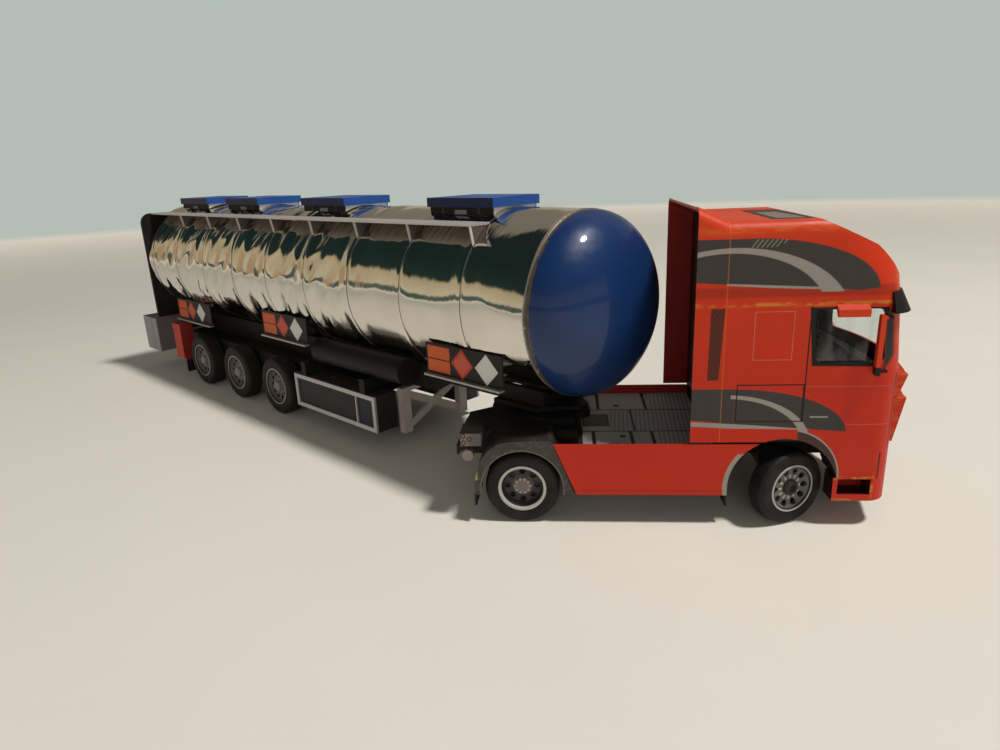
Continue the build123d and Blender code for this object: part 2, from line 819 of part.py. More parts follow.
def skid_plate():
    # Wide below the neck, and narrow where it reaches the kingpin
    half = [(x, y) for x, y in skid_outline]
    body = upright(polygon(*half, *[(x, -y) for x, y in reversed(half)]), skid_plate_z, neck_bottom)
    return body + rod_z(kingpin_radius, 0, 0, skid_plate_z - kingpin_length, skid_plate_z)


def landing_legs():
    front = leg_x + leg_length / 2
    rear = leg_x - leg_length / 2
    inner = leg_outer_y - leg_width
    top = trailer_rail_bottom
    leg = block(rear, front, inner, leg_outer_y, leg_bottom, top)
    cap = block(rear, front, -leg_outer_y, leg_outer_y, top - leg_cap, top)
    high = top - leg_cap
    low = leg_bottom + 0.8
    face = polygon((-inner, high), (-inner, high - brace_width), (inner, low), (inner, low + brace_width))
    brace = along(face, leg_x - card, leg_x + card)
    return both_sides(leg) + cap + brace + left_of(brace)


def locker_right():
    # A box whose outer face is a raised border round two sunken panes
    outer_y = -locker_outer_y
    low = locker_bottom + locker_border
    high = locker_top - locker_border
    box = block(locker_rear, locker_front, outer_y, outer_y + locker_depth, locker_bottom, locker_top)
    for rear, front in ((locker_rear + locker_border, locker_split), (locker_split + card, locker_front - locker_border)):
        box = box - block(rear, front, outer_y - 1, outer_y + locker_recess, low, high)
    return box


board_table = (
    # rear X, front X, bottom Z, top Z
    (-39.2, -7.4, 35.2, 44.8),
    (-142.2, -109.2, 33.4, 43.2),
    (-234.0, -198.0, 28.9, 38.9),
)


def hazard_boards_right():
    # Each board hangs from the tank's side and has a narrow ledge below
    shapes = []
    for rear, front, low, high in board_table:
        y = -tank_half_width(high)
        board = block(rear, front, y - card, y, low, high)
        shapes.append(board + block(rear, front, y - card - board_ledge, y, low - card, low))
    return group(shapes)


def hose_tube_right():
    return rod_x(tube_radius, -tube_y, tube_bottom + tube_radius, tube_rear, tube_front)


def rear_box():
    return block(rear_box_rear, rear_box_front, -rear_box_half, rear_box_half, rear_box_bottom, rear_box_top)


def rear_post_right():
    # A lamp post behind the last wheel, with the mud flap on its front
    post = block(post_rear, post_front, -post_outer_y, -post_inner_y, post_bottom, rear_box_top)
    flap_outer = card - post_outer_y
    flap_inner = flap_outer + trailer_flap_width
    return post + block(post_front, post_front + card, flap_outer, flap_inner, trailer_flap_bottom, post_bottom + 3)


# Every node, with the body it belongs to
nodes = {
    "tractor_chassis": ("tractor", tractor_chassis()),
    "chassis_deck": ("tractor", chassis_deck()),
    "rear_deck": ("tractor", rear_deck()),
    "skirt_right": ("tractor", skirt_right()),
    "skirt_left": ("tractor", left_of(skirt_right())),
    "fender_right": ("tractor", fender_right()),
    "fender_left": ("tractor", left_of(fender_right())),
    "fifth_wheel": ("tractor", fifth_wheel()),
    "tail_lamps": ("tractor", tail_lamps()),
    "mud_flaps": ("tractor", mud_flaps()),
    "front_axle": ("tractor", front_axle()),
    "arch_liners": ("tractor", pair(arch_liner_right())),
    "cab_side_right": ("tractor", cab_side_right()),
    "cab_side_left": ("tractor", left_of(cab_side_right())),
    "cab_front": ("tractor", cab_front()),
    "cab_roof": ("tractor", cab_roof()),
    "cab_rear_wall": ("tractor", cab_rear_wall()),
    "cab_floor": ("tractor", cab_floor()),
    "window_film": ("tractor", window_film()),
    "collar_right": ("tractor", collar_right()),
    "collar_left": ("tractor", left_of(collar_right())),
    "bumper": ("tractor", bumper()),
    "step_right": ("tractor", step_right()),
    "step_left": ("tractor", left_of(step_right())),
    "sun_visor": ("tractor", sun_visor()),
    "mirror_right": ("tractor", mirror_right()),
    "mirror_left": ("tractor", left_of(mirror_right())),
    "dashboard": ("tractor", dashboard()),
    "seats": ("tractor", seats()),
    "tank_barrel": ("trailer", tank_barrel()),
    "tank_dome": ("trailer", tank_dome()),
    "rear_bulkhead": ("trailer", rear_bulkhead()),
    "walkway": ("trailer", walkway()),
    "hatch_boxes": ("trailer", hatch_boxes()),
    "hatch_lids": ("trailer", hatch_lids()),
    "trailer_frame": ("trailer", trailer_frame()),
    "skid_plate": ("trailer", skid_plate()),
    "landing_legs": ("trailer", landing_legs()),
    "locker_right": ("trailer", locker_right()),
    "locker_left": ("trailer", left_of(locker_right())),
    "hazard_boards_right": ("trailer", hazard_boards_right()),
    "hazard_boards_left": ("trailer", left_of(hazard_boards_right())),
    "hose_tube_right": ("trailer", hose_tube_right()),
    "hose_tube_left": ("trailer", left_of(hose_tube_right())),
    "rear_box": ("trailer", rear_box()),
    "rear_posts": ("trailer", pair(rear_post_right())),
}
for side in ("right", "left"):
    wheel = front_wheel()
    knuckle = knuckle_left()
    for part, shape in wheel.items():
        placed = Pos(wheelbase, 0, tyre_radius) * shape
        nodes[f"front_{part}_{side}"] = (f"front_wheel_{side}", placed if side == "right" else left_of(placed))
    nodes[f"knuckle_{side}"] = (f"knuckle_{side}", knuckle if side == "left" else left_of(knuckle))
drive_tyres, drive_axle = axle_set("drive", tyre_radius, wheel_face_y, True)
nodes["drive_tyres"] = ("drive_wheels", drive_tyres)
nodes["drive_axle"] = ("drive_wheels", drive_axle)
for index, x in enumerate(axle_places, start=1):
    tyres, axle = axle_set("trailer", trailer_tyre_radius, trailer_width / 2, False)
    nodes[f"trailer_tyres_{index}"] = (f"trailer_wheels_{index}", Pos(x, 0, 0) * tyres)
    nodes[f"trailer_axle_{index}"] = (f"trailer_wheels_{index}", Pos(x, 0, 0) * axle)

# Pose: steer the front wheels, turn the trailer, and set the model's centre over the origin


def steered(shape, y):
    return Pos(wheelbase, y, 0) * Rot(0, 0, steer_left) * Pos(-wheelbase, -y, 0) * shape


def hitched(shape):
    return Pos(kingpin_x, 0, 0) * Rot(0, 0, articulation) * shape


posed = {}
for name, (body, shape) in nodes.items():
    if body in ("knuckle_right", "front_wheel_right"):
        shape = steered(shape, -steering_pin_y)
    elif body in ("knuckle_left", "front_wheel_left"):
        shape = steered(shape, steering_pin_y)
    elif body.startswith("trailer"):
        shape = hitched(shape)
    posed[name] = shape

bounds = [shape.bounding_box() for shape in posed.values()]
shift_x = -(min(b.min.X for b in bounds) + max(b.max.X for b in bounds)) / 2
shift_y = -(min(b.min.Y for b in bounds) + max(b.max.Y for b in bounds)) / 2
origin_shift = Pos(shift_x, shift_y, 0)

os.makedirs("parts", exist_ok=True)
for name, shape in posed.items():
    moved = origin_shift * shape
    solids = moved.solids()
    kept = solids[0] if len(solids) == 1 else Compound(children=solids)
    export_step(kept, f"parts/{name}.step")
print("origin shift", round(shift_x, 4), round(shift_y, 4))
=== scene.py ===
import bmesh
import bpy
import json
import math
from mathutils import Matrix, Vector, noise


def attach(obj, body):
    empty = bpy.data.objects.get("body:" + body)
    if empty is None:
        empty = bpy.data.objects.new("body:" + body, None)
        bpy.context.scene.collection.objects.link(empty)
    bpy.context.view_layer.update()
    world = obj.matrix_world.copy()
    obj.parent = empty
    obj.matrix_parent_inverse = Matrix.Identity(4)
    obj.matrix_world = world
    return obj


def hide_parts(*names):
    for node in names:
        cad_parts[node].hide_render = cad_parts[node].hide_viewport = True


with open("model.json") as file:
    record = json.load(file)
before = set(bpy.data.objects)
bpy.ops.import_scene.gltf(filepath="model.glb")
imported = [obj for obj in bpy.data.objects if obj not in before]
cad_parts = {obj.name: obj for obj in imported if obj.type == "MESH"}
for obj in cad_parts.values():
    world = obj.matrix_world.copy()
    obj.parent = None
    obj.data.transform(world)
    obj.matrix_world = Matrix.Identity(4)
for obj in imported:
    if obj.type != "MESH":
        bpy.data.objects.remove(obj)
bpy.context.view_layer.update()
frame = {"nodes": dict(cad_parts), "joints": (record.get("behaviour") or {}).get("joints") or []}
nodes = frame["nodes"]
joints = {joint["name"]: joint for joint in frame["joints"]}
print("frame loaded:", len(nodes), "nodes")


# Working places: the drive axle and the kingpin are the origins of tractor and trailer, in millimetres

perMetre = 1000


def jointPlace(name, onFloor=False):
    joint = joints[name]
    origin = Vector(joint["pos_m"])
    if onFloor:
        origin.z = 0
    return {"origin": origin, "turn": math.atan2(-joint["axis"][0], joint["axis"][1])}


tractor = jointPlace("drive_spin", onFloor=True)
trailer = jointPlace("trailer_spin_1", onFloor=True)
trailer["origin"] = Vector(joints["kingpin"]["pos_m"])
trailer["origin"].z = 0


def placeMatrix(place):
    turn = Matrix.Rotation(place["turn"], 4, "Z")
    return Matrix.Translation(place["origin"]) @ turn @ Matrix.Scale(1 / perMetre, 4)


def colour(code):
    # A written screen colour becomes a linear one
    parts = [int(code[index:index + 2], 16) / 255 for index in (1, 3, 5)]
    return tuple(part / 12.92 if part < 0.04 else ((part + 0.055) / 1.055) ** 2.4 for part in parts) + (1,)


# Camera, lights, floor and surroundings

cameraSettings = {
    "focalPixels": 682.94, "imageWidth": 1000, "sensor": 36.0, "clip": (0.005, 20),
    "place": (12.90, -194.73, 94.81), "yaw": 5.95, "pitch": 16.93, "roll": -2.45,
}


def addCamera(settings):
    yaw, pitch, roll = (math.radians(settings[key]) for key in ("yaw", "pitch", "roll"))
    right = Vector((math.cos(yaw), math.sin(yaw), 0))
    ahead = Vector((-math.sin(yaw), math.cos(yaw), 0))
    look = ahead * math.cos(pitch) - Vector((0, 0, 1)) * math.sin(pitch)
    above = Vector((0, 0, 1)) * math.cos(pitch) + ahead * math.sin(pitch)
    turnedRight = right * math.cos(roll) + above * math.sin(roll)
    turnedUp = above * math.cos(roll) - right * math.sin(roll)
    data = bpy.data.cameras.new("camera")
    data.sensor_width = settings["sensor"]
    data.lens = settings["focalPixels"] * settings["sensor"] / settings["imageWidth"]
    data.clip_start, data.clip_end = settings["clip"]
    camera = bpy.data.objects.new("camera", data)
    bpy.context.scene.collection.objects.link(camera)
    rotation = Matrix((turnedRight, turnedUp, -look)).transposed().to_4x4()
    place = placeMatrix(tractor) @ Vector(settings["place"])
    camera.matrix_world = Matrix.Translation(place) @ rotation
    bpy.context.scene.camera = camera


addCamera(cameraSettings)
bpy.context.scene.view_settings.view_transform = "Standard"

lampSettings = {
    # name: place in the tractor's millimetres, size in metres, power in watts, mirrored by gloss
    "keyLamp": ((640, -192, 1376), 0.19, 18.5, True),
    "fillLamp": ((60, -1150, 200), 1.00, 3.4, False),
}
lampTarget = (-60, 40, 30)


def addLamp(name, spot, size, power, mirrored):
    lamp = bpy.data.lights.new(name, "AREA")
    lamp.shape = "DISK"
    lamp.size = size
    lamp.energy = power
    made = bpy.data.objects.new(name, lamp)
    bpy.context.scene.collection.objects.link(made)
    made.visible_glossy = mirrored
    place, target = (placeMatrix(tractor) @ Vector(point) for point in (spot, lampTarget))
    rotation = (place - target).to_track_quat("Z", "Y").to_matrix().to_4x4()
    made.matrix_world = Matrix.Translation(place) @ rotation


for name, settings in lampSettings.items():
    addLamp(name, *settings)
print("camera and lamps placed")


# Materials: a value is a socket that takes part in sums, and a paint builds the nodes of a material
# or of the world. An edge between two print colours is softEdge wide, in millimetres, and a pair that is
# named start, base, top, foot or end holds an edge and its own softness

softEdge = 0.12


class Value:
    def __init__(self, paint, socket):
        self.paint = paint
        self.socket = socket

    def __add__(self, other):
        return self.paint.math("ADD", self, other)

    __radd__ = __add__

    def __sub__(self, other):
        return self.paint.math("SUBTRACT", self, other)

    def __rsub__(self, other):
        return self.paint.math("SUBTRACT", other, self)

    def __mul__(self, other):
        return self.paint.math("MULTIPLY", self, other)

    __rmul__ = __mul__

    def __abs__(self):
        return self.paint.math("ABSOLUTE", self)


class Paint:
    def __init__(self, owner):
        # The owner is a material or the world
        owner.use_nodes = True
        self.owner = owner
        self.tree = owner.node_tree
        self.tree.nodes.clear()

    def node(self, kind, settings, inputs):
        # An input is a number, a screen colour's code, a value, or another node's socket
        made = self.tree.nodes.new("ShaderNode" + kind)
        stops = settings.pop("stops", None)
        for key, value in settings.items():
            setattr(made, key, value)
        if stops:
            while len(made.color_ramp.elements) < len(stops):
                made.color_ramp.elements.new(1)
            for element, (position, shade) in zip(made.color_ramp.elements, stops):
                element.position = position
                element.color = shade
        for key, value in inputs.items():
            if isinstance(value, str):
                value = colour(value)
            if isinstance(value, Value):
                value = value.socket
            if isinstance(value, bpy.types.NodeSocket):
                self.tree.links.new(value, made.inputs[key])
            else:
                made.inputs[key].default_value = value
        return made

    def math(self, operation, *values, clamp=False):
        made = self.node("Math", {"operation": operation, "use_clamp": clamp}, dict(enumerate(values)))
        return Value(self, made.outputs[0])

    def coordinates(self, place):
        # Millimetres from a place's origin, along its own axes
        back = Matrix.Rotation(-place["turn"], 3, "Z") @ place["origin"]
        source = self.node("TexCoord", {}, {})
        mapping = {"Vector": source.outputs["Object"], "Location": back * -perMetre, "Scale": [perMetre] * 3}
        mapping["Rotation"] = (0, 0, -place["turn"])
        self.point = self.node("Mapping", {}, mapping).outputs[0]
        split = self.node("SeparateXYZ", {}, {0: self.point})
        return [Value(self, socket) for socket in split.outputs]

    def outward(self, centre, place):
        # Positive where a face looks away from a centre
        normal = self.node("TexCoord", {}, {}).outputs["Normal"]
        turned = self.node("Mapping", {}, {"Vector": normal, "Rotation": (0, 0, -place["turn"])})
        arm = self.node("VectorMath", {"operation": "SUBTRACT"}, {0: self.point, 1: centre})
        return self.dot(turned.outputs[0], arm.outputs[0])

    def dot(self, first, second):
        made = self.node("VectorMath", {"operation": "DOT_PRODUCT"}, {0: first, 1: second})
        return Value(self, made.outputs["Value"])

    def noise(self, size, detail=2, stretch=(1, 1, 1)):
        # A pattern with marks about as large as size, in millimetres
        vector = self.node("VectorMath", {"operation": "MULTIPLY"}, {0: self.point, 1: stretch})
        inputs = {"Vector": vector.outputs[0], "Scale": 1 / size, "Detail": detail}
        return Value(self, self.node("TexNoise", {}, inputs).outputs[0])

    def mix(self, base, over, mask):
        return self.node("Mix", {"data_type": "RGBA"}, {0: mask, 6: base, 7: over}).outputs[2]

    def over(self, tint, mask):
        # A tint printed over the shade so far
        self.shade = self.mix(self.shade, tint, mask)

    def blend(self, share, first, second):
        # Two surfaces or backgrounds, the second by its share
        return self.node("MixShader", {}, {0: share, 1: first.outputs[0], 2: second.outputs[0]})

    def rise(self, value, edge, soft=softEdge):
        # From 0 to 1 at an edge
        return self.math("MULTIPLY_ADD", value, 1 / soft, 0.5 - edge / soft, clamp=True)

    def fall(self, value, edge, soft=softEdge):
        return self.math("MULTIPLY_ADD", value, -1 / soft, 0.5 + edge / soft, clamp=True)

    def between(self, value, low, high, soft=softEdge):
        return self.rise(value, low, soft) * self.fall(value, high, soft)

    def box(self, a, b, spans, soft=softEdge):
        # Within one span along a and another along b
        first, second = spans
        return self.between(a, *first, soft) * self.between(b, *second, soft)

    def distance(self, a, b, centre=(0, 0), scale=(1, 1)):
        first = self.math("MULTIPLY_ADD", a, 1 / scale[0], -centre[0] / scale[0])
        second = self.math("MULTIPLY_ADD", b, 1 / scale[1], -centre[1] / scale[1])
        return self.math("SQRT", first * first + second * second)

    def inside(self, a, b, corners, soft=softEdge):
        # A convex outline whose corners go round clockwise
        mask = None
        for (a0, b0), (a1, b1) in zip(corners, corners[1:] + corners[:1]):
            length = math.hypot(a1 - a0, b1 - b0)
            across, along = (b1 - b0) / length, (a0 - a1) / length
            offset = self.math("MULTIPLY_ADD", b, along, -(a0 * across + b0 * along))
            edge = self.rise(self.math("MULTIPLY_ADD", a, across, offset), 0, soft)
            mask = edge if mask is None else mask * edge
        return mask

    def frame(self, a, b, spans, width):
        # A box's border
        inner = [(low + width, high - width) for low, high in spans]
        return self.box(a, b, spans) - self.box(a, b, inner)

    def join(self, *masks):
        mask = masks[0]
        for other in masks[1:]:
            mask = self.math("MAXIMUM", mask, other)
        return mask

    def bump(self, height, depth):
        # Depth in millimetres
        return self.node("Bump", {}, {"Height": height, "Distance": depth / perMetre}).outputs[0]

    def output(self, surface):
        self.node("OutputMaterial", {}, {"Surface": surface.outputs[0]})
        return self.owner

    def finish(self, inputs):
        return self.output(self.node("BsdfPrincipled", {}, inputs))


def newPaint(name, place):
    # A new material's paint, and the three distances along a place's axes
    paint = Paint(bpy.data.materials.new(name))
    return paint, *paint.coordinates(place)


cardSettings = {
    # sizes and depths in millimetres
    "fibreSize": 0.35, "fibreDepth": 0.03, "blotchSize": 9.0, "blotch": 0.10,
    "grainSize": 0.22, "grain": 0.10, "markTint": (0.02, 0.018, 0.016, 1), "markShare": 1.6,
    "soilTint": (0.30, 0.27, 0.23, 1), "soilFrom": (0.58, 0.25),
    "roughness": 0.52, "roughnessChange": 0.16, "specular": 0.25,
}


def finishCard(paint, gloss=0.0, soil=0.0, relief=None):
    # Printed card: fine print grain, faint blotches and a fibre that catches the light
    settings = cardSettings
    blotch = paint.noise(settings["blotchSize"], 3)
    grain = paint.noise(settings["grainSize"], 1)
    marks = blotch * settings["blotch"] + grain * settings["grain"]
    paint.over(settings["markTint"], marks * settings["markShare"])
    if soil:
        paint.over(settings["soilTint"], paint.rise(blotch, *settings["soilFrom"]) * soil)
    roughness = blotch * settings["roughnessChange"] + (settings["roughness"] - gloss)
    height = paint.noise(settings["fibreSize"], 2) if relief is None else relief
    normal = paint.bump(height, settings["fibreDepth"])
    return paint.finish({
        "Base Color": paint.shade, "Roughness": roughness, "Normal": normal,
        "Specular IOR Level": settings["specular"]})


def dress(names, material):
    for name in names:
        mesh = nodes[name].data
        mesh.materials.clear()
        mesh.materials.append(material)


# Floor and surroundings

stageSettings = {
    "floor": "#E8E1D1", "fleck": "#DAD4C8", "fleckSize": 60, "fleckShare": 0.5,
    "grainSize": 3, "grainDepth": 0.05, "floorRoughness": 0.8, "floorReach": 1.3, "floorFade": 0.9,
    "wall": "#B5BEB6", "farFloor": "#D3CCBC", "ambient": 0.15,
    "rearGlow": "#AE9472", "backWall": "#7F796C", "backLow": "#ABA38E",
    # where a part of the room starts or ends, and how softly: upward or backward part of a direction
    "wallFoot": (-0.058, 0.006), "glowStart": (0.12, 0.16), "glowTop": (0.17, 0.1),
    "lowTop": (0.28, 0.1), "wallStart": (0.48, 0.1), "floorTop": (-0.02, 0.01),
    "roomStops": (
        # upward part of a direction, colour that the foil and the dome mirror there
        (0.00, "#4C5C56"), (0.05, "#4C5C56"), (0.075, "#C9BEA2"), (0.26, "#B3A482"), (0.30, "#22322F"),
        (0.60, "#1B2928"), (1.00, "#242A28")),
}


def addFloor(settings):
    # A sheet of paper that fades out towards its rim
    bm = bmesh.new()
    bmesh.ops.create_circle(bm, cap_ends=True, segments=96, radius=settings["floorReach"])
    mesh = bpy.data.meshes.new("floor")
    bm.to_mesh(mesh)
    bm.free()
    floor = bpy.data.objects.new("floor", mesh)
    bpy.context.scene.collection.objects.link(floor)
    paint, x, y, z = newPaint("floorPaper", {"origin": Vector(), "turn": 0})
    fade = settings["floorFade"] * perMetre
    edge = (settings["floorReach"] - settings["floorFade"]) * perMetre
    clear = paint.rise(paint.distance(x, y), edge + fade / 2, fade)
    fleck = paint.noise(settings["fleckSize"], 3) * settings["fleckShare"]
    shade = paint.mix(settings["floor"], settings["fleck"], fleck)
    normal = paint.bump(paint.noise(settings["grainSize"], 2), settings["grainDepth"])
    inputs = {"Base Color": shade, "Roughness": settings["floorRoughness"], "Normal": normal}
    surface = paint.node("BsdfPrincipled", {}, inputs)
    blend = paint.blend(clear, surface, paint.node("BsdfTransparent", {}, {}))
    mesh.materials.append(paint.output(blend))


def addSurroundings(settings):
    # The camera sees a floor and a wall, gloss mirrors a room, and all else gets a faint even light
    world = bpy.data.worlds.new("room")
    bpy.context.scene.world = world
    paint = Paint(world)
    direction = paint.node("TexCoord", {}, {}).outputs["Generated"]
    upward = paint.node("SeparateXYZ", {}, {0: direction}).outputs[2]
    height = Value(paint, upward)
    back = paint.dot(direction, (-math.sin(tractor["turn"]), math.cos(tractor["turn"]), 0))
    stops = [(position, colour(code)) for position, code in settings["roomStops"]]
    room = paint.node("ValToRGB", {"stops": stops}, {0: upward}).outputs[0]
    glow = paint.rise(back, *settings["glowStart"]) * paint.fall(height, *settings["glowTop"])
    room = paint.mix(room, settings["rearGlow"], glow)
    wall = paint.mix(settings["backWall"], settings["backLow"], paint.fall(height, *settings["lowTop"]))
    room = paint.mix(room, wall, paint.rise(back, *settings["wallStart"]))
    room = paint.mix(room, settings["farFloor"], paint.fall(height, *settings["floorTop"]))
    beyond = paint.mix(settings["farFloor"], settings["wall"], paint.rise(height, *settings["wallFoot"]))
    shown = paint.node("Background", {}, {"Color": beyond})
    mirrored = paint.node("Background", {}, {"Color": room})
    ambient = paint.node("Background", {}, {"Color": (1, 1, 1, 1), "Strength": settings["ambient"]})
    path = paint.node("LightPath", {}, {})
    lit = paint.blend(path.outputs["Is Glossy Ray"], ambient, mirrored)
    seen = paint.math("MAXIMUM", path.outputs["Is Camera Ray"], path.outputs["Is Transmission Ray"])
    last = paint.blend(seen, lit, shown)
    paint.node("OutputWorld", {}, {"Surface": last.outputs[0]})


addFloor(stageSettings)
addSurroundings(stageSettings)
print("floor and surroundings made")


# Cab card: red-orange print with two dark sweeps, pale stripes and thin black panel lines

cabPrint = {
    "red": "#DC3A10", "redLow": "#CC2C10", "roof": "#E03F14",
    # painted shade: the cab's inner faces are dark maroon, and the collars' inner faces a darker red
    "inside": "#35100E", "hood": "#9C2B22", "sweep": "#413C38",
    "stripe": "#A39A90", "paleLine": "#CC7A66", "black": "#120E0D",
    "wearAndHighlight": "#DE8A2C", "vent": ("#341510", "#74301F"),
    "archShade": "#4A332B", "pane": "#2C322F", "recessShadeTint": "#8E1D12",
    "roofHatchTint": "#4E1714", "roofPlateTint": "#857F74",
    "outlineCentre": (72, 0, 20), "sideStart": (23.5, 1.0), "seam": 60.2, "roofEdge": 76.6,
    # ellipses of the sweeps and stripes: centre and radii in the side's X and Z
    "upperArch": ((57, 63.4), (30.3, 12.7)),
    "upperStripe": (((53, 56.5), (28.0, 17.5)), ((52, 58.5), (23.0, 14.2))),
    "lowerArch": ((55, 26.6), (28.0, 11.8)),
    "lowerStripe": (((53, 24.0), (21.2, 12.9)), ((53, 23.6), (19.2, 12.3))),
    # X, Z and radius of the wheel arch, and of the dark shade in front of it
    "arch": (68.3, 11.0, 13.9), "archLip": (68.85, 14.0, 13.4),
    # spans in X and Z
    "upperFlat": ((40, 57.3), (60, 76.1)), "lowerFlat": ((40, 55), (24, 38.5)),
    "doorLine": ((71.8, 72.15), (29.6, 59.6)), "cornerLine": ((94.0, 94.35), (22, 42)),
    "bumperGap": ((91.9, 92.3), (13.7, 21.0)), "lowHatch": ((55.3, 71.9), (29.6, 39.7)),
    "panel": ((58.7, 68.2), (46.0, 58.4)), "handle": ((73.8, 78.2), (30.7, 31.1)),
    "thinLines": (((72.3, 93), (38.9, 39.12)), ((82.5, 93), (28.7, 28.92))),
    "skirtLine": ((16, 53.5), (9.95, 10.15)), "recess": ((82.2, 90.7), (8.6, 14)),
    "stepEdge": ((80.2, 91.4), (7.2, 14.4)),
    # corners in X and Z, clockwise
    "upperBase": ((40, 90), (88, 90), (88, 63.8), (80, 62.9), (61.6, 64.4), (40, 65.6)),
    "lowerBase": ((40, 60), (90, 60), (90, 26.8), (74, 26.8), (58, 28.6), (40, 29.8)),
    "strokes": ((57.5, 75.9), (66.0, 75.7), (62.5, 74.0), (56.5, 73.9)),
    "hem": ((51.5, 65.5), (61.6, 64.9), (74.0, 64.2), (80.0, 63.3), (61.6, 64.2), (51.5, 65.0)),
    "band": ((40, 29.9), (58, 28.9), (74, 27.6), (75, 26.5), (64, 27.2), (51, 27.9), (40, 28.1)),
    "ventPanel": ((48.1, 59.3), (51.5, 59.3), (50.7, 41.0), (47.9, 40.8)),
    "bracket": ((83.1, 21.7), (85.3, 23.0), (92.6, 23.3), (94.5, 21.7), (92.6, 22.9), (85.3, 22.6)),
    "window": ((71.6, 59.2), (90.0, 59.0), (88.9, 44.0), (73.1, 44.4)),
    "quarter": ((89.6, 57.8), (91.2, 57.8), (92.5, 46.8), (90.2, 43.4)),
    # roof hatch: spans in X and Y, and the corners of the plate in it
    "roofHatch": ((62.6, 75.0), (-20.5, 13.5)),
    "roofPlate": ((64.6, 3), (70.0, 3), (71.6, -17), (64.6, -17)),
}


def sweepPrint(paint, x, z, side, look):
    # The dark sweeps and their pale stripes, over the door and behind the wheel arch
    def arc(shape, soft=0.012):
        return paint.fall(paint.distance(x, z, *shape), 1, soft)

    def sweep(arch, flat, base):
        front = arc(arch) * paint.rise(x, arch[0][0])
        return paint.join(front, paint.box(x, z, flat)) * paint.inside(x, z, base)

    upper = sweep(look["upperArch"], look["upperFlat"], look["upperBase"])
    paint.over(look["sweep"], upper * side)
    strokes = paint.rise(paint.math("SINE", x * 5.6 - z * 4.2), 0.45, 0.5)
    strokes = strokes * paint.inside(x, z, look["strokes"])
    paint.over(look["stripe"], strokes * side * 0.6)
    outer, inner = (arc(shape) for shape in look["upperStripe"])
    stripe = (outer - outer * inner) * paint.rise(z, 63.0)
    hem = paint.inside(x, z, look["hem"])
    paint.over(look["stripe"], paint.join(stripe, hem) * side)

    lower = sweep(look["lowerArch"], look["lowerFlat"], look["lowerBase"])
    paint.over(look["sweep"], lower * side)
    outer, inner = (arc(shape) for shape in look["lowerStripe"])
    stripe = (outer - outer * inner) * paint.rise(x, 54) * paint.rise(z, 26.4)
    band = paint.inside(x, z, look["band"])
    paint.over(look["stripe"], paint.join(stripe, band) * side)


def linePrint(paint, x, z, side, look):
    # Panel lines, the vent, the arch's lip, the window's gasket and the quarter pane
    archX, archZ, archRadius = look["arch"]
    lipX, lipZ, lipRadius = look["archLip"]
    fromLip = paint.distance(x, z, (lipX, lipZ))
    fromArch = paint.distance(x, z, (archX, archZ))
    front = paint.rise(x, 71.2, 0.6) * paint.rise(z, 14) * side
    paint.over(look["archShade"], paint.fall(fromLip, lipRadius) * front)
    lip = paint.between(fromLip, lipRadius - 0.25, lipRadius + 0.15)
    paint.over(look["stripe"], lip * front)
    skirtLip = paint.fall(fromArch, archRadius + 1.2) * paint.fall(x, 60.5) * paint.fall(z, 20.6)
    paint.over(look["stripe"], skirtLip * side)

    slats = paint.rise(paint.math("SINE", z * 8.4 + x * 6.0), 0, 0.8)
    vent = paint.inside(x, z, look["ventPanel"])
    paint.over(paint.mix(*look["vent"], slats), vent * side)
    dark = [paint.box(x, z, look[name]) for name in ("doorLine", "cornerLine", "bumperGap")]
    dark += [paint.frame(x, z, look["lowHatch"], 0.32), paint.inside(x, z, look["bracket"])]
    paint.over(look["black"], paint.join(*dark) * side)
    panel = paint.frame(x, z, look["panel"], 0.18)
    thin = paint.join(*[paint.box(x, z, spans) for spans in look["thinLines"]])
    paint.over(look["paleLine"], paint.join(panel, thin * 0.6) * side * 0.8)
    paint.over(look["stripe"], paint.box(x, z, look["handle"]) * side)
    paint.over(look["inside"], paint.box(x, z, look["skirtLine"]) * side * 0.5)

    paint.over(look["black"], paint.inside(x, z, look["window"]) * side)
    paint.over(look["black"], paint.inside(x, z, look["quarter"], 1.2) * side)
    pane = paint.inside(x, z, look["quarter"], 0.2)
    paint.over(look["pane"], pane * side * 0.8)


nosePrint = {
    "black": "#120E0D", "slat": "#3A3430", "lampTint": "#5B5652",
    "bulbTint": "#D5D2CC", "start": (97.3, 0.3), "slatTurn": 3.6, "bulbRadius": 2.2,
    # spans and centres: distance from the middle, and height
    "grille": (((-1, 17), (24.4, 33.6)), ((-1, 18.5), (36.4, 39.6))), "intake": ((-1, 11), (9.5, 16)),
    "lamp": ((13.5, 22.5), (12.0, 19.0)), "bulbs": ((15.9, 15.5), (20.2, 15.5)),
}


def frontPrint(paint, x, y, z, look):
    # Dark slatted grille, air intakes and pale lamps on the front
    facing = paint.rise(x, *look["start"])
    slats = paint.rise(paint.math("SINE", z * look["slatTurn"]), -0.2, 0.5)
    grille = paint.join(*[paint.box(abs(y), z, spans) for spans in look["grille"]])
    paint.over(paint.mix(look["black"], look["slat"], slats), grille * facing)
    paint.over(look["black"], paint.box(abs(y), z, look["intake"]) * facing)
    paint.over(look["lampTint"], paint.box(abs(y), z, look["lamp"]) * facing)
    away = [paint.distance(abs(y), z, centre) for centre in look["bulbs"]]
    bulbs = paint.join(*[paint.fall(value, look["bulbRadius"]) for value in away])
    paint.over(look["bulbTint"], bulbs * facing)


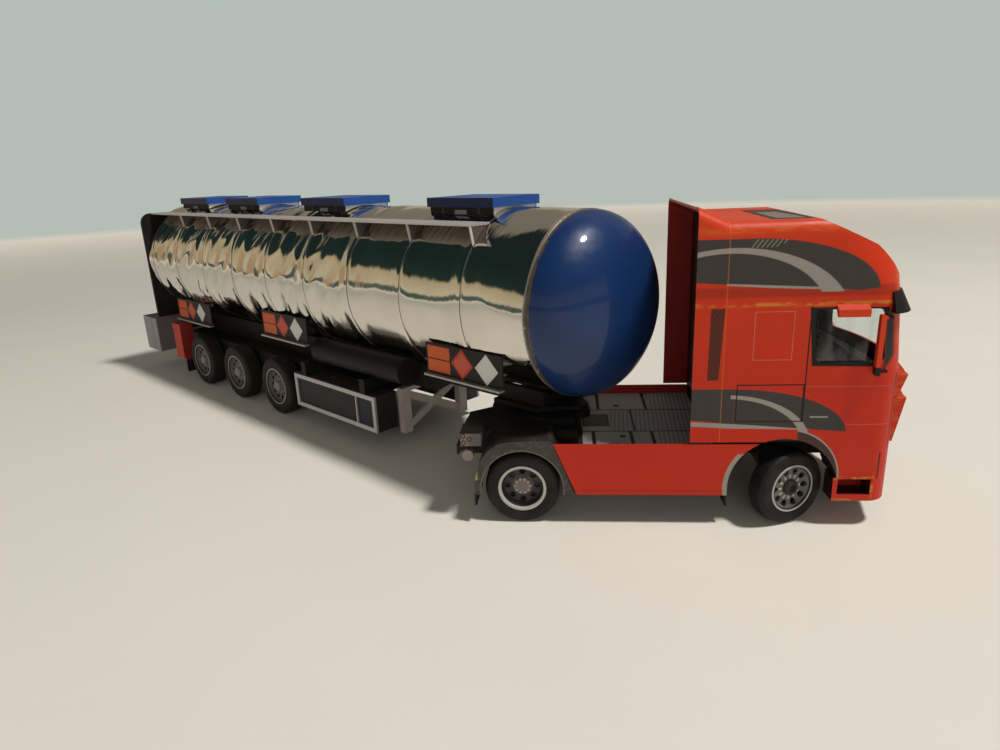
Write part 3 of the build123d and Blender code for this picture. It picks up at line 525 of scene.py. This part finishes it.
def cabPaint(look):
    paint, x, y, z = newPaint("cabCard", tractor)
    side = paint.rise(abs(y), *look["sideStart"])
    outside = paint.rise(paint.outward(look["outlineCentre"], tractor), 0, 0.4)
    paint.shade = paint.mix(look["redLow"], look["red"], paint.rise(z, 57, 50))
    # painted highlight: the lit top of the roof is printed a brighter orange than the sides
    roof = paint.rise(z, 76.4, 1.5) * paint.fall(x, 84, 8)
    paint.over(look["roof"], roof)
    # painted shade: a darker red band in the crease under the upper sweep
    creaseShade = paint.between(z, 61.9, 64.4, 0.8) * paint.fall(x, 92)
    paint.over(look["inside"], creaseShade * side * 0.35)
    sweepPrint(paint, x, z, side, look)
    linePrint(paint, x, z, side, look)
    frontPrint(paint, x, y, z, nosePrint)

    # roof hatch
    high = paint.rise(z, look["roofEdge"])
    paint.over(look["roofHatchTint"], paint.box(x, y, look["roofHatch"]) * high)
    paint.over(look["roofPlateTint"], paint.inside(x, y, look["roofPlate"]) * high)

    # step recess, and painted highlights on the folds: below the roof, along the shoulder, the cab's edges
    # and the step
    # painted shade: the step recess is printed a darker red
    recess = paint.box(x, z, look["recess"]) * paint.fall(abs(y), 25.35)
    paint.over(look["recessShadeTint"], recess)
    highlightBreakup = paint.noise(1.5, 3, stretch=(0.5, 0.5, 1.5))
    seam = paint.between(z, look["seam"] - 0.55, look["seam"] + 0.35, 0.5)
    rearEdge = paint.between(x, 51.65, 51.85, 0.2) * paint.rise(z, 24) * 0.55
    shoulderHighlight = paint.between(z, 77.6, 78.6, 1.6) * paint.rise(abs(y), 23) * 0.5
    stepEdge = paint.frame(x, z, look["stepEdge"], 1.0) * side
    noseHighlight = paint.between(abs(y), 21.7, 22.4, 0.4) * paint.rise(x, 92) * 0.6
    # painted highlight: the lit folds and edges are printed a pale orange, broken up by noise
    wearAndHighlight = paint.join(seam, shoulderHighlight, stepEdge * 0.8, noseHighlight) * paint.rise(highlightBreakup, 0.50, 0.16)
    paint.over(look["wearAndHighlight"], paint.join(wearAndHighlight, rearEdge) * 0.85)
    # painted shade on faces that look inward: dark maroon inside the cab, a darker red inside the collars
    # behind its rear wall
    inside = paint.mix(look["inside"], look["hood"], paint.fall(x, 51.9))
    paint.shade = paint.mix(inside, paint.shade, outside)
    ripple = paint.noise(4.0, 2, stretch=(1, 1, 1.6)) * 3.0 + paint.noise(0.35, 2) * 0.5
    return finishCard(paint, gloss=0.16, relief=ripple)


cabNodes = [name for name in nodes if name.split("_")[0] in ("skirt", "collar", "step")]
cabNodes += ["cab_side_right", "cab_side_left", "cab_front", "cab_roof", "bumper"]
dress(cabNodes, cabPaint(cabPrint))


rearWallPrint = {
    # painted shade: the ground is the red card darkened to maroon
    "ground": "#35100E", "line": "#7A4A44", "lineWidth": 0.25, "lineShare": 0.5,
    "heights": (34, 48, 62, 70), "sides": (9, 20),
}


def rearWallPaint(look):
    # Dark maroon: the red card's print with painted shade over it, and faint pale panel lines
    paint, x, y, z = newPaint("rearWallCard", tractor)
    width = look["lineWidth"]
    lines = [paint.between(z, height, height + width) for height in look["heights"]]
    lines += [paint.between(abs(y), place, place + width) for place in look["sides"]]
    paint.shade = paint.mix(look["ground"], look["line"], paint.join(*lines) * look["lineShare"])
    return finishCard(paint, gloss=0.1)


dress(["cab_rear_wall"], rearWallPaint(rearWallPrint))
print("cab card painted")


# Plain and lightly printed cards

plainCards = {
    # material: colour, second colour, gloss, soil, nodes
    "blackCard": ("#0D0C0C", "#181615", 0.05, 0.0, (
        "fifth_wheel", "sun_visor", "mud_flaps", "arch_liners", "rear_bulkhead", "hose_tube_right",
        "hose_tube_left", "dashboard", "seats", "cab_floor")),
    "chassisCard": ("#0B0A0A", "#151413", 0.0, 0.02, (
        "tractor_chassis", "front_axle", "knuckle_right", "knuckle_left", "trailer_frame", "skid_plate")),
    "legCard": ("#C6B9B0", "#AEA299", 0.0, 0.2, ("landing_legs",)),
}
for name, (first, second, gloss, soil, members) in plainCards.items():
    paint, x, y, z = newPaint(name, tractor if name in ("chassisCard", "blackCard") else trailer)
    paint.shade = paint.mix(first, second, paint.noise(6, 3))
    dress(members, finishCard(paint, gloss, soil))


# Mirrors: red backs with black caps

mirrorPrint = {
    "cap": "#141211", "back": "#E03F14",
    # spans of the back in X and Z, and where the arm's red end stops
    "backSpans": ((86.8, 89.4), (44.4, 60)), "armEnd": 86,
}


def mirrorPaint(look):
    paint, x, y, z = newPaint("mirrorCard", tractor)
    back = paint.join(paint.box(x, z, look["backSpans"]), paint.fall(x, look["armEnd"]))
    paint.shade = paint.mix(look["cap"], look["back"], back)
    return finishCard(paint, gloss=0.14)


dress(["mirror_right", "mirror_left"], mirrorPaint(mirrorPrint))


# Fenders: grey-brown lip with a black top

fenderPrint = {
    "top": "#141210", "lip": "#45403A", "rim": "#6A645C", "wear": "#7A7166",
    "label": "#A8A23A", "labelSpans": ((-13.3, -12.1), (13.0, 16.6)),
    "faceStart": (25.0, 0.2), "centre": (0, 10.2), "rimReach": (11.2, 11.6),
}


def fenderPaint(look):
    paint, x, y, z = newPaint("fenderCard", tractor)
    face = paint.rise(abs(y), *look["faceStart"])
    away = paint.distance(x, z, look["centre"])
    paint.shade = paint.mix(look["top"], look["lip"], face)
    paint.over(look["rim"], paint.between(away, *look["rimReach"]) * face)
    wear = paint.rise(paint.noise(0.9, 3), 0.62, 0.12)
    paint.over(look["wear"], wear * face * 0.35)
    paint.over(look["label"], paint.box(x, z, look["labelSpans"]) * face)
    return finishCard(paint, soil=0.1)


dress(["fender_right", "fender_left"], fenderPaint(fenderPrint))


# Deck: grey printed panels with black lines, ribbed towards the cab

deckPrint = {
    "ground": "#B2AAA5", "pale": "#CAC2BC", "rib": "#645D59",
    "black": "#131110", "olive": "#55564A",
    # distances from the middle between the rows, spans in X and Y, and where the black borders start
    "rows": (8.7, 9.3), "ribStart": 38, "ribStartMiddle": 25, "rowEdge": 9,
    "middlePlate": ((17.6, 24.2), (-4.4, 4.4)), "middleFrame": ((17.0, 24.8), (-5.0, 5.0)),
    "middleLine": (31.6, 32.2), "rearEdge": 16.8, "raisedEdge": 21.5,
    # cross lines in X; discs: centre and radius; ring: centre, inner and outer radius
    "farLines": ((21.7, 22.7), (36.5, 37.5)), "farDisc": ((27.9, 12.7), 1.0),
    "nearLines": ((19.4, 20.4), (30.0, 31.0), (35.9, 36.9)), "nearDisc": ((28.1, -12.9), 0.9),
    "nearRing": ((25.3, -19.6), 1.5, 2.0),
}


def deckPaint(look):
    paint, x, y, z = newPaint("deckCard", tractor)

    def disc(centre, radius):
        return paint.fall(paint.distance(x, y, centre), radius)

    paint.shade = paint.mix(look["ground"], look["pale"], paint.noise(12, 2))
    ribs = paint.rise(paint.math("SINE", x * 5.0 - y * 0.35), 0.0, 0.8)
    middle = paint.fall(abs(y), look["rowEdge"])
    ribbed = paint.join(paint.rise(x, look["ribStart"]), paint.rise(x, look["ribStartMiddle"]) * middle)
    paint.over(look["rib"], ribs * ribbed * 0.5)
    far = [paint.between(x, *span) for span in look["farLines"]] + [disc(*look["farDisc"])]
    near = [paint.between(x, *span) for span in look["nearLines"]] + [disc(*look["nearDisc"])]
    centre, innerRadius, outerRadius = look["nearRing"]
    near.append(paint.between(paint.distance(x, y, centre), innerRadius, outerRadius))
    farRow = paint.join(*far) * paint.rise(y, look["rowEdge"])
    nearRow = paint.join(*near) * paint.fall(y, -look["rowEdge"])
    paint.over(look["olive"], paint.box(x, y, look["middlePlate"]))
    lines = [
        paint.between(abs(y), *look["rows"]), farRow, nearRow,
        paint.frame(x, y, look["middleFrame"], 0.6),
        paint.between(x, *look["middleLine"]) * middle, paint.fall(x, look["rearEdge"]),
        paint.rise(z, look["raisedEdge"])]
    paint.over(look["black"], paint.join(*lines))
    return finishCard(paint, soil=0.1)


dress(["chassis_deck", "rear_deck"], deckPaint(deckPrint))


# Tail lamps: a pale cluster with round lenses, and a pale disc under it

lampPrint = {
    "ground": "#141211", "face": ("#8A7771", "#69625F"), "faceChange": (-14.4, 1.5),
    "cluster": (21.8, 25.4), "clusterStart": 15.9, "sideStart": 22.5, "rearStart": -16.7,
    # lenses as rings: centres in X and Z on the side and in Y and Z at the rear, then the radii
    "sideLenses": ((-16.0, 24.7), (-16.0, 22.7), (-14.3, 23.8)), "sideRadii": (0.4, 0.75),
    "rearLenses": ((-20.9, 23.6), (-17.7, 23.6)), "rearRadii": (0.6, 1.1),
    "sideTint": "#40302D", "rearTint": "#4A201C",
    "disc": (-15.0, 18.9), "discRadius": 1.7, "discStart": 19.9, "discTint": "#94837C",
}


def lampPaint(look):
    paint, x, y, z = newPaint("tailLampCard", tractor)
    cluster = paint.between(z, *look["cluster"]) * paint.rise(abs(y), look["clusterStart"])
    face = paint.mix(*look["face"], paint.rise(x, *look["faceChange"]))
    paint.shade = paint.mix(look["ground"], face, cluster)
    onSide = paint.rise(abs(y), look["sideStart"])
    for centre in look["sideLenses"]:
        lens = paint.between(paint.distance(x, z, centre), *look["sideRadii"])
        paint.over(look["sideTint"], lens * onSide * cluster)
    atRear = paint.fall(x, look["rearStart"])
    for centre in look["rearLenses"]:
        lens = paint.between(paint.distance(y, z, centre), *look["rearRadii"])
        paint.over(look["rearTint"], lens * atRear * cluster)
    disc = paint.fall(paint.distance(x, z, look["disc"]), look["discRadius"])
    paint.over(look["discTint"], disc * paint.rise(abs(y), look["discStart"]))
    return finishCard(paint, gloss=0.1)


dress(["tail_lamps"], lampPaint(lampPrint))
print("tractor cards painted")


# Wheels: black card rings and pale printed discs

wheelPrints = {
    # rim radius, ring's width and colour; dish; holes: count, circle and half sizes; hub
    # bolts: count, inner and outer end, half width
    "front": {
        "radius": 6.6, "ring": 0.5, "ringTint": "#B9B3AB", "dish": ("#7E7873", "#67625E"),
        "holes": (10, 4.65, 0.85, 0.8), "hub": 2.15, "hubTint": "#2C2826",
        "bolts": (12, 2.45, 3.5, 0.24), "boltTint": "#D0CAC2"},
    "drive": {
        "radius": 6.6, "ring": 0.85, "ringTint": "#C9C2B9", "dish": ("#4B4745", "#3B3836"),
        "holes": (8, 4.2, 0.95, 0.75), "hub": 2.8, "hubTint": "#857873",
        "bolts": (10, 1.7, 2.4, 0.2), "boltTint": "#C9BFB8"},
    "trailer": {
        "radius": 7.6, "ring": 0.55, "ringTint": "#A39C94", "dish": ("#6F6763", "#5B5450"),
        "holes": (10, 4.9, 0.9, 0.75), "hub": 2.3, "hubTint": "#8E8680",
        "bolts": (10, 2.6, 3.1, 0.28), "boltTint": "#B5AEA6"},
}
wheelTable = {
    # joint: print, tyre node, rim node
    "front_spin_right": ("front", "front_tyre_right", "front_rim_right"),
    "front_spin_left": ("front", "front_tyre_left", "front_rim_left"),
    "drive_spin": ("drive", "drive_tyres", "drive_axle"),
    "trailer_spin_1": ("trailer", "trailer_tyres_1", "trailer_axle_1"),
    "trailer_spin_2": ("trailer", "trailer_tyres_2", "trailer_axle_2"),
    "trailer_spin_3": ("trailer", "trailer_tyres_3", "trailer_axle_3"),
}


def tyrePaint(name, place):
    paint, x, y, z = newPaint(name, place)
    away = paint.distance(x, z)
    paint.shade = paint.mix("#0F0E0E", "#1A1817", paint.rise(paint.noise(2.5, 3), 0.5, 0.4))
    rings = paint.rise(paint.math("SINE", away * 9.0), 0.6, 0.6)
    paint.over("#32302D", rings * 0.2)
    return finishCard(paint, soil=0.03, relief=rings * 0.6 + paint.noise(0.5, 2))


def rimPaint(name, place, look):
    # A pale ring, a grey dish with dark hand holes, and a hub inside a ring of bolts
    paint, x, y, z = newPaint(name, place)
    away = paint.distance(x, z)
    angle = paint.math("ARCTAN2", z, x)

    def around(count, circle):
        # Distance along a circle from the nearest of its evenly spaced marks
        share = paint.math("FRACT", paint.math("MULTIPLY_ADD", angle, count / math.tau, 0.5)) - 0.5
        return share * (math.tau * circle / count)

    paint.shade = paint.mix(*look["dish"], paint.noise(1.5, 3))
    count, circle, wide, high = look["holes"]
    hole = paint.distance(around(count, circle), away - circle, scale=(wide, high))
    paint.over("#131110", paint.fall(hole, 1, 0.2))
    paint.over(look["hubTint"], paint.fall(away, look["hub"], 0.2))
    count, low, high, wide = look["bolts"]
    bolts = paint.fall(abs(around(count, (low + high) / 2)), wide) * paint.between(away, low, high)
    paint.over(look["boltTint"], bolts)
    edge = look["radius"] - look["ring"]
    paint.over("#2B2826", paint.between(away, edge - 0.4, edge, 0.3))
    paint.over(look["ringTint"], paint.rise(away, edge))
    return finishCard(paint, gloss=0.15)


for joint, (printName, tyreNode, rimNode) in wheelTable.items():
    place = jointPlace(joint)
    dress([tyreNode], tyrePaint(tyreNode + "Card", place))
    dress([rimNode], rimPaint(rimNode + "Card", place, wheelPrints[printName]))
print("wheels painted")


# Window film

filmSettings = {
    "roughness": 0.06, "tint": (0.93, 0.95, 0.95, 1), "gloss": 0.008, "smearGloss": 0.05,
    "smearSize": 5, "smearStretch": (1, 1, 0.4), "smearFrom": (0.56, 0.2),
}


def filmPaint(look):
    # Clear film: mostly transparent, with a faint gloss that is stronger in its smears
    paint, x, y, z = newPaint("clearFilm", tractor)
    marks = paint.noise(look["smearSize"], 4, stretch=look["smearStretch"])
    smear = paint.rise(marks, *look["smearFrom"])
    glass = paint.node("BsdfGlossy", {}, {"Roughness": look["roughness"]})
    clear = paint.node("BsdfTransparent", {}, {"Color": look["tint"]})
    blend = paint.blend(smear * look["smearGloss"] + look["gloss"], clear, glass)
    return paint.output(blend)


dress(["window_film"], filmPaint(filmSettings))


# Tank: mirror foil with dents and seams, and the glossy blue dome

tankSettings = {
    "radius": 26.8, "axis": 56.6, "front": 3.4, "rear": -245.2, "rings": 330, "spokes": 168,
    "seamFront": -21.0, "seamPitch": 27.3, "seamCount": 9, "seamDepth": 0.35, "seamWidth": 0.55,
    "seamHold": 5, "calmFrom": -66, "roughFrom": -92,
    "dents": (
        # length along the tank, length around it, depth, share that stays on the calm front part
        (36.0, 24.0, 0.80, 1.0), (10.5, 15.0, 1.40, 0.10), (4.5, 11.0, 0.45, 0.12)),
    # how far creases lean, and how far apart in the noise pattern the three sizes are read
    "slant": 0.45, "patternStep": 17,
}


def foilDent(x, angle, settings):
    # How far the foil lies under the tank's full radius, in millimetres
    across, up = math.cos(angle) * settings["radius"], math.sin(angle) * settings["radius"]
    rough = min(1, max(0, (settings["calmFrom"] - x) / (settings["calmFrom"] - settings["roughFrom"])))
    leaning = x - up * settings["slant"]
    seams = [settings["seamFront"] - index * settings["seamPitch"] for index in range(settings["seamCount"])]
    near = min(abs(x - seam) for seam in seams)
    hold = min(1, near / settings["seamHold"])
    depth = settings["seamDepth"] * math.exp(-(near / settings["seamWidth"]) ** 2)
    for index, (length, width, deep, calm) in enumerate(settings["dents"]):
        spot = Vector((leaning / length + settings["patternStep"] * index, across / width, up / width))
        depth += hold * deep * (calm + (1 - calm) * rough) * abs(noise.noise(spot))
    return depth


def makeFoil(settings):
    bm = bmesh.new()
    front, rear, radius = settings["front"], settings["rear"], settings["radius"]
    corners = ((front, 0, 0), (front, 0, radius), (rear, 0, radius), (rear, 0, 0))
    profile = [bm.verts.new(point) for point in corners]
    edges = [bm.edges.new(pair) for pair in zip(profile, profile[1:])]
    bmesh.ops.subdivide_edges(bm, edges=edges[1:2], cuts=settings["rings"])
    bmesh.ops.spin(
        bm, geom=bm.verts[:] + bm.edges[:], cent=(0, 0, 0), axis=(1, 0, 0), angle=math.tau,
        steps=settings["spokes"], use_merge=True)
    bmesh.ops.remove_doubles(bm, verts=bm.verts[:], dist=0.0005)
    for vertex in bm.verts:
        radius = math.hypot(vertex.co.y, vertex.co.z)
        if radius > 1:
            angle = math.atan2(vertex.co.z, vertex.co.y)
            scale = (radius - foilDent(vertex.co.x, angle, settings)) / radius
            vertex.co.y *= scale
            vertex.co.z *= scale
    bmesh.ops.translate(bm, verts=bm.verts[:], vec=(0, 0, settings["axis"]))
    return bm


def addPiece(name, bm, place, body, material, stands):
    # Puts a mesh drawn in millimetres at its place, where it rides on its body and stands for CAD nodes
    bmesh.ops.transform(bm, matrix=placeMatrix(place), verts=bm.verts[:])
    bmesh.ops.recalc_face_normals(bm, faces=bm.faces[:])
    mesh = bpy.data.meshes.new(name)
    bm.to_mesh(mesh)
    bm.free()
    for polygon in mesh.polygons:
        polygon.use_smooth = True
    mesh.materials.append(material)
    piece = bpy.data.objects.new(name, mesh)
    bpy.context.scene.collection.objects.link(piece)
    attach(piece, body)
    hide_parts(*stands)


foilPrint = {
    "foil": "#EAE5DD", "shade": "#CFCAC0", "line": "#6E5F58", "seam": "#2E2620",
    "rim": ("#16130F", "#5E482D"), "rimShadeTop": (68, 8), "rimStart": (2.5, 0.8),
    # thin dark lines along the tank's top, creases tinted pinkish brown as a painted reflection of the
    # walkway's underside: height from, to, softness; where they end; their stretch
    "top": (75.0, 79.6, 1.5), "topEnd": (-14, 2), "topStretch": (1.0, 0.06, 0.06),
    # a seam's line: how far behind and ahead of its middle, and its softness
    "seamReach": (0.25, 0.10, 0.15), "crinkleStretch": (1.6, 0.4, 0.4), "crinkleDepth": 0.05,
}


def foilPaint(look, tank):
    # Mirror metal, with card that shows through at the front rim and along the seams
    paint, x, y, z = newPaint("mirrorFoil", trailer)
    paint.shade = paint.mix(look["foil"], look["shade"], paint.noise(14, 3))
    # painted reflection of the walkway's underside in the band under it, with the creases as thin lines
    top = paint.between(z, *look["top"]) * paint.fall(x, *look["topEnd"])
    lines = paint.rise(paint.noise(0.9, 2, stretch=look["topStretch"]), 0.5, 0.3)
    paint.over(look["line"], lines * top * 0.7)
    nearFront = paint.rise(x, *look["rimStart"]) * paint.rise(paint.noise(1.2, 2), 0.30, 0.2)
    # painted shade: the card at the front rim is brown above and near black on its lower part
    rimTintAndShade = paint.mix(*look["rim"], paint.rise(z, *look["rimShadeTop"]))
    paint.over(rimTintAndShade, nearFront * 0.9)
    behind, ahead, soft = look["seamReach"]
    middles = [tank["seamFront"] - index * tank["seamPitch"] for index in range(tank["seamCount"])]
    seams = paint.join(*[paint.between(x, middle - behind, middle + ahead, soft) for middle in middles])
    paint.over(look["seam"], seams * 0.85)
    roughness = paint.noise(4, 3) * 0.08 + seams * 0.3 + nearFront * 0.4 + 0.04
    metal = 1 - seams * 0.6 - nearFront * 0.9
    crinkle = paint.noise(2.4, 3, stretch=look["crinkleStretch"]) + lines * top * 0.25
    normal = paint.bump(crinkle, look["crinkleDepth"])
    return paint.finish({
        "Base Color": paint.shade, "Metallic": metal, "Roughness": roughness, "Normal": normal})


foilMaterial = foilPaint(foilPrint, tankSettings)
addPiece(
    "foilWrap", makeFoil(tankSettings), trailer, "trailer", foilMaterial,
    stands=("tank_barrel",))


domeSettings = {
    "blue": ("#173668", "#0E264C"), "edge": "#5E4C30", "edgeEnd": (4.35, 0.3),
    "waveSize": 16, "waveDepth": 0.8, "specular": 0.25, "coat": 0.4, "coatRoughness": 0.07,
}


def domePaint(look):
    # Glossy blue card with slow waves, and a brown worn edge against the foil
    paint, x, y, z = newPaint("domeBlue", trailer)
    paint.shade = paint.mix(*look["blue"], paint.noise(18, 3))
    edge = paint.fall(x, *look["edgeEnd"]) * paint.rise(paint.noise(1.5, 3), 0.42, 0.2)
    paint.over(look["edge"], edge)
    roughness = paint.noise(9, 3) * 0.2 + 0.3
    normal = paint.bump(paint.noise(look["waveSize"], 3), look["waveDepth"])
    return paint.finish({
        "Base Color": paint.shade, "Roughness": roughness, "Normal": normal,
        "Specular IOR Level": look["specular"], "Coat Weight": look["coat"],
        "Coat Roughness": look["coatRoughness"]})


dress(["tank_dome"], domePaint(domeSettings))
print("tank made")


# Hatches and walkway

hatchFronts = (-22.0, -95.8, -158.5, -206.2)
hatchLength = 28.5
lidPrint = {
    "blue": ("#2459A6", "#1D4C92"), "line": "#1B4488", "side": "#17244C",
    "wearAndHighlight": "#7FA0CE", "sideStart": (10.35, 0.05), "sideTop": (86.7, 0.1),
    "lineInset": 1.6, "lineReach": 8.8, "lineWidth": 0.3, "lineBase": 86.2,
    "wornBase": (86.3, 0.2), "wornStart": (9.9, 0.3),
}
hatchPrint = {
    "cream": ("#E4DED3", "#CFC8BC"), "panel": "#151313", "mark": "#8D8A86",
    # heights of the side panel and of its label, half the label's length, and places and width of two lines
    "sideStart": (9.3, 0.2), "panelHeights": (79, 84.4), "labelHeights": (81.2, 82.9), "labelHalf": 2.6,
    "lines": (-8, 7.6), "lineWidth": 0.4,
}
walkwayPrint = {
    "ground": "#B3A9A1", "tread": "#9A9089", "edge": "#D9CFC2", "web": "#5A504B",
    "webEdge": "#DAD1C4", "webTop": (79.35, 0.08), "edgeStart": (21.3, 0.1), "treadTurn": 4.2,
    # a web's pale outer edge: how far its border leans outward per height, and where it starts
    "webSlant": 0.2, "webStart": (4.85, 0.1),
}


def lidPaint(look):
    # Bright blue on top and at the front, with painted shade in navy along the sides
    paint, x, y, z = newPaint("lidCard", trailer)
    paint.shade = paint.mix(*look["blue"], paint.noise(6, 3))
    inset, reach = look["lineInset"], look["lineReach"]
    boxes = [((front - hatchLength + inset, front - inset), (-reach, reach)) for front in hatchFronts]
    inner = paint.join(*[paint.frame(x, y, spans, look["lineWidth"]) for spans in boxes])
    paint.over(look["line"], inner * paint.rise(z, look["lineBase"]))
    # painted shade: the lid's sides are printed navy
    side = paint.rise(abs(y), *look["sideStart"]) * paint.fall(z, *look["sideTop"])
    paint.over(look["side"], side)
    wearAndHighlight = paint.rise(paint.noise(0.8, 3), 0.62, 0.1) * paint.rise(z, *look["wornBase"])
    wearAndHighlight = wearAndHighlight * paint.rise(abs(y), *look["wornStart"])
    paint.over(look["wearAndHighlight"], wearAndHighlight * 0.6)
    return finishCard(paint, gloss=0.18)


def hatchPaint(look):
    # Cream card with black side panels that hold a blank grey label
    paint, x, y, z = newPaint("hatchCard", trailer)
    paint.shade = paint.mix(*look["cream"], paint.noise(5, 3))
    side = paint.rise(abs(y), *look["sideStart"])
    for front in hatchFronts:
        middle, half, width = front - hatchLength / 2, look["labelHalf"], look["lineWidth"]
        label = paint.box(x, z, ((middle - half, middle + half), look["labelHeights"]))
        places = [middle + offset for offset in look["lines"]]
        lines = paint.join(*[paint.between(x, place, place + width) for place in places])
        panel = paint.box(x, z, ((front - hatchLength, front), look["panelHeights"])) * side
        paint.over(look["panel"], panel)
        paint.over(look["mark"], paint.join(label, lines * 0.4) * panel)
    return finishCard(paint)


def walkwayPaint(look):
    # Pale card with a lined tread; the webs under it have painted shade in brown-grey, with pale edges
    paint, x, y, z = newPaint("walkwayCard", trailer)
    normal = paint.node("TexCoord", {}, {}).outputs["Normal"]
    upward = Value(paint, paint.node("SeparateXYZ", {}, {0: normal}).outputs[2])
    web = paint.fall(z, *look["webTop"])
    slanted = paint.rise(abs(y) - z * look["webSlant"], *look["webStart"])
    webEdge = paint.join(paint.rise(abs(upward), 0.5, 0.1), slanted)
    turn = look["treadTurn"]
    tread = paint.rise(paint.math("SINE", x * turn) * paint.math("SINE", y * turn), 0.2, 0.6)
    paint.shade = paint.mix(look["ground"], look["tread"], tread * 0.6)
    paint.over(look["edge"], paint.rise(abs(y), *look["edgeStart"]))
    # painted shade: the webs under the walkway are printed brown-grey
    paint.over(look["web"], web)
    paint.over(look["webEdge"], web * webEdge)
    return finishCard(paint, soil=0.1)


dress(["hatch_lids"], lidPaint(lidPrint))
dress(["hatch_boxes"], hatchPaint(hatchPrint))
dress(["walkway"], walkwayPaint(walkwayPrint))


# Side boards, lockers and rear box

boardTable = (
    # rear X, front X, bottom Z, top Z
    (-39.2, -7.4, 35.2, 44.8),
    (-142.2, -109.2, 33.4, 43.2),
    (-234.0, -198.0, 28.9, 38.9),
)
boardPrint = {
    "ground": ("#171413", "#262220"), "plate": "#DD6430", "plateLine": "#2A1A12",
    "plateSpan": (0.7, 10.4), "plateInset": 0.8, "lineHalf": 0.2, "diamond": 4.6, "core": 3.5,
    "diamonds": (
        # middle from the board's rear end, rim colour, core colour
        (15.6, "#CE4228", "#D4614A"), (25.6, "#E4DFD6", "#E9E5DD")),
    "foot": "#BFB6AB", "footHeight": 0.7,
}
lockerPrint = {
    "ground": ("#1A1918", "#262524"), "pane": "#1D2433", "border": "#CFC9C6",
    "lid": "#55504C", "lidBase": (20.7, 0.1), "faceStart": (24.4, 0.2), "borderWidth": 1.6,
    # spans in X and Z
    "outline": ((-120, -68.3), (7.6, 20.8)), "divider": ((-79.8, -79.2), (7.6, 20.8)),
    "paneSpans": ((-79.2, -69.9), (9.2, 19.2)),
}
rearBoxPrint = {
    "end": "#6E5F5D", "side": "#B4AEB2", "blotch": "#8E8589", "line": "#5F595B",
    "sideStart": (26.6, 0.1), "lineSpan": (-257.2, -256.8),
}
postPrint = {
    "inner": "#8E2A1E", "outer": "#CC4228", "strip": "#D8503F", "flap": "#161413",
    "outerStart": (25.6, 0.2), "stripSpan": (-226.2, -224.4), "stripBase": 9.4, "flapTop": 9.3,
}


def boardPaint(look):
    # Dark boards with an orange plate, a red and a pale diamond, and a pale foot
    paint, x, y, z = newPaint("boardCard", trailer)
    paint.shade = paint.mix(*look["ground"], paint.noise(3, 3))
    for rear, front, low, high in boardTable:
        middle, half, inset = (low + high) / 2, look["lineHalf"], look["plateInset"]
        span = [rear + offset for offset in look["plateSpan"]]
        paint.over(look["plate"], paint.box(x, z, (span, (low + inset, high - inset))))
        paint.over(look["plateLine"], paint.box(x, z, (span, (middle - half, middle + half))))
        for offset, rim, core in look["diamonds"]:
            reach = abs(x - (rear + offset)) + abs(z - middle)
            paint.over(rim, paint.fall(reach, look["diamond"]))
            paint.over(core, paint.fall(reach, look["core"]))
        foot = paint.box(x, z, ((rear, front), (low - look["footHeight"], low)))
        paint.over(look["foot"], foot)
    return finishCard(paint, gloss=0.1)


def lockerPaint(look):
    # Dark lockers with a pale outline and divider, and a dark blue pane
    paint, x, y, z = newPaint("lockerCard", trailer)
    face = paint.rise(abs(y), *look["faceStart"])
    outline = paint.frame(x, z, look["outline"], look["borderWidth"])
    border = paint.join(outline, paint.box(x, z, look["divider"]))
    paint.shade = paint.mix(*look["ground"], paint.noise(5, 3))
    paint.over(look["pane"], paint.box(x, z, look["paneSpans"]) * face)
    paint.over(look["border"], border * face)
    paint.over(look["lid"], paint.rise(z, *look["lidBase"]) * 0.6)
    return finishCard(paint, gloss=0.15)


def rearBoxPaint(look):
    # Pale grey sides and a darker, pinkish front and rear
    paint, x, y, z = newPaint("rearBoxCard", trailer)
    side = paint.rise(abs(y), *look["sideStart"])
    paint.shade = paint.mix(look["end"], look["side"], side)
    paint.over(look["blotch"], paint.noise(4, 3) * 0.4)
    paint.over(look["line"], paint.between(x, *look["lineSpan"]) * side)
    return finishCard(paint)


def postPaint(look):
    # Red posts with a brighter outer strip, above a black mud flap
    paint, x, y, z = newPaint("postCard", trailer)
    paint.shade = paint.mix(look["inner"], look["outer"], paint.rise(abs(y), *look["outerStart"]))
    strip = paint.between(x, *look["stripSpan"]) * paint.rise(z, look["stripBase"])
    paint.over(look["strip"], strip * 0.8)
    paint.over(look["flap"], paint.fall(z, look["flapTop"]))
    return finishCard(paint, gloss=0.05)


dress(["hazard_boards_right", "hazard_boards_left"], boardPaint(boardPrint))
dress(["locker_right", "locker_left"], lockerPaint(lockerPrint))
dress(["rear_box"], rearBoxPaint(rearBoxPrint))
dress(["rear_posts"], postPaint(postPrint))
print("trailer cards painted")

undressed = [name for name, node in nodes.items() if not node.data.materials or not node.data.materials[0]]
print("nodes without a paint:", undressed)
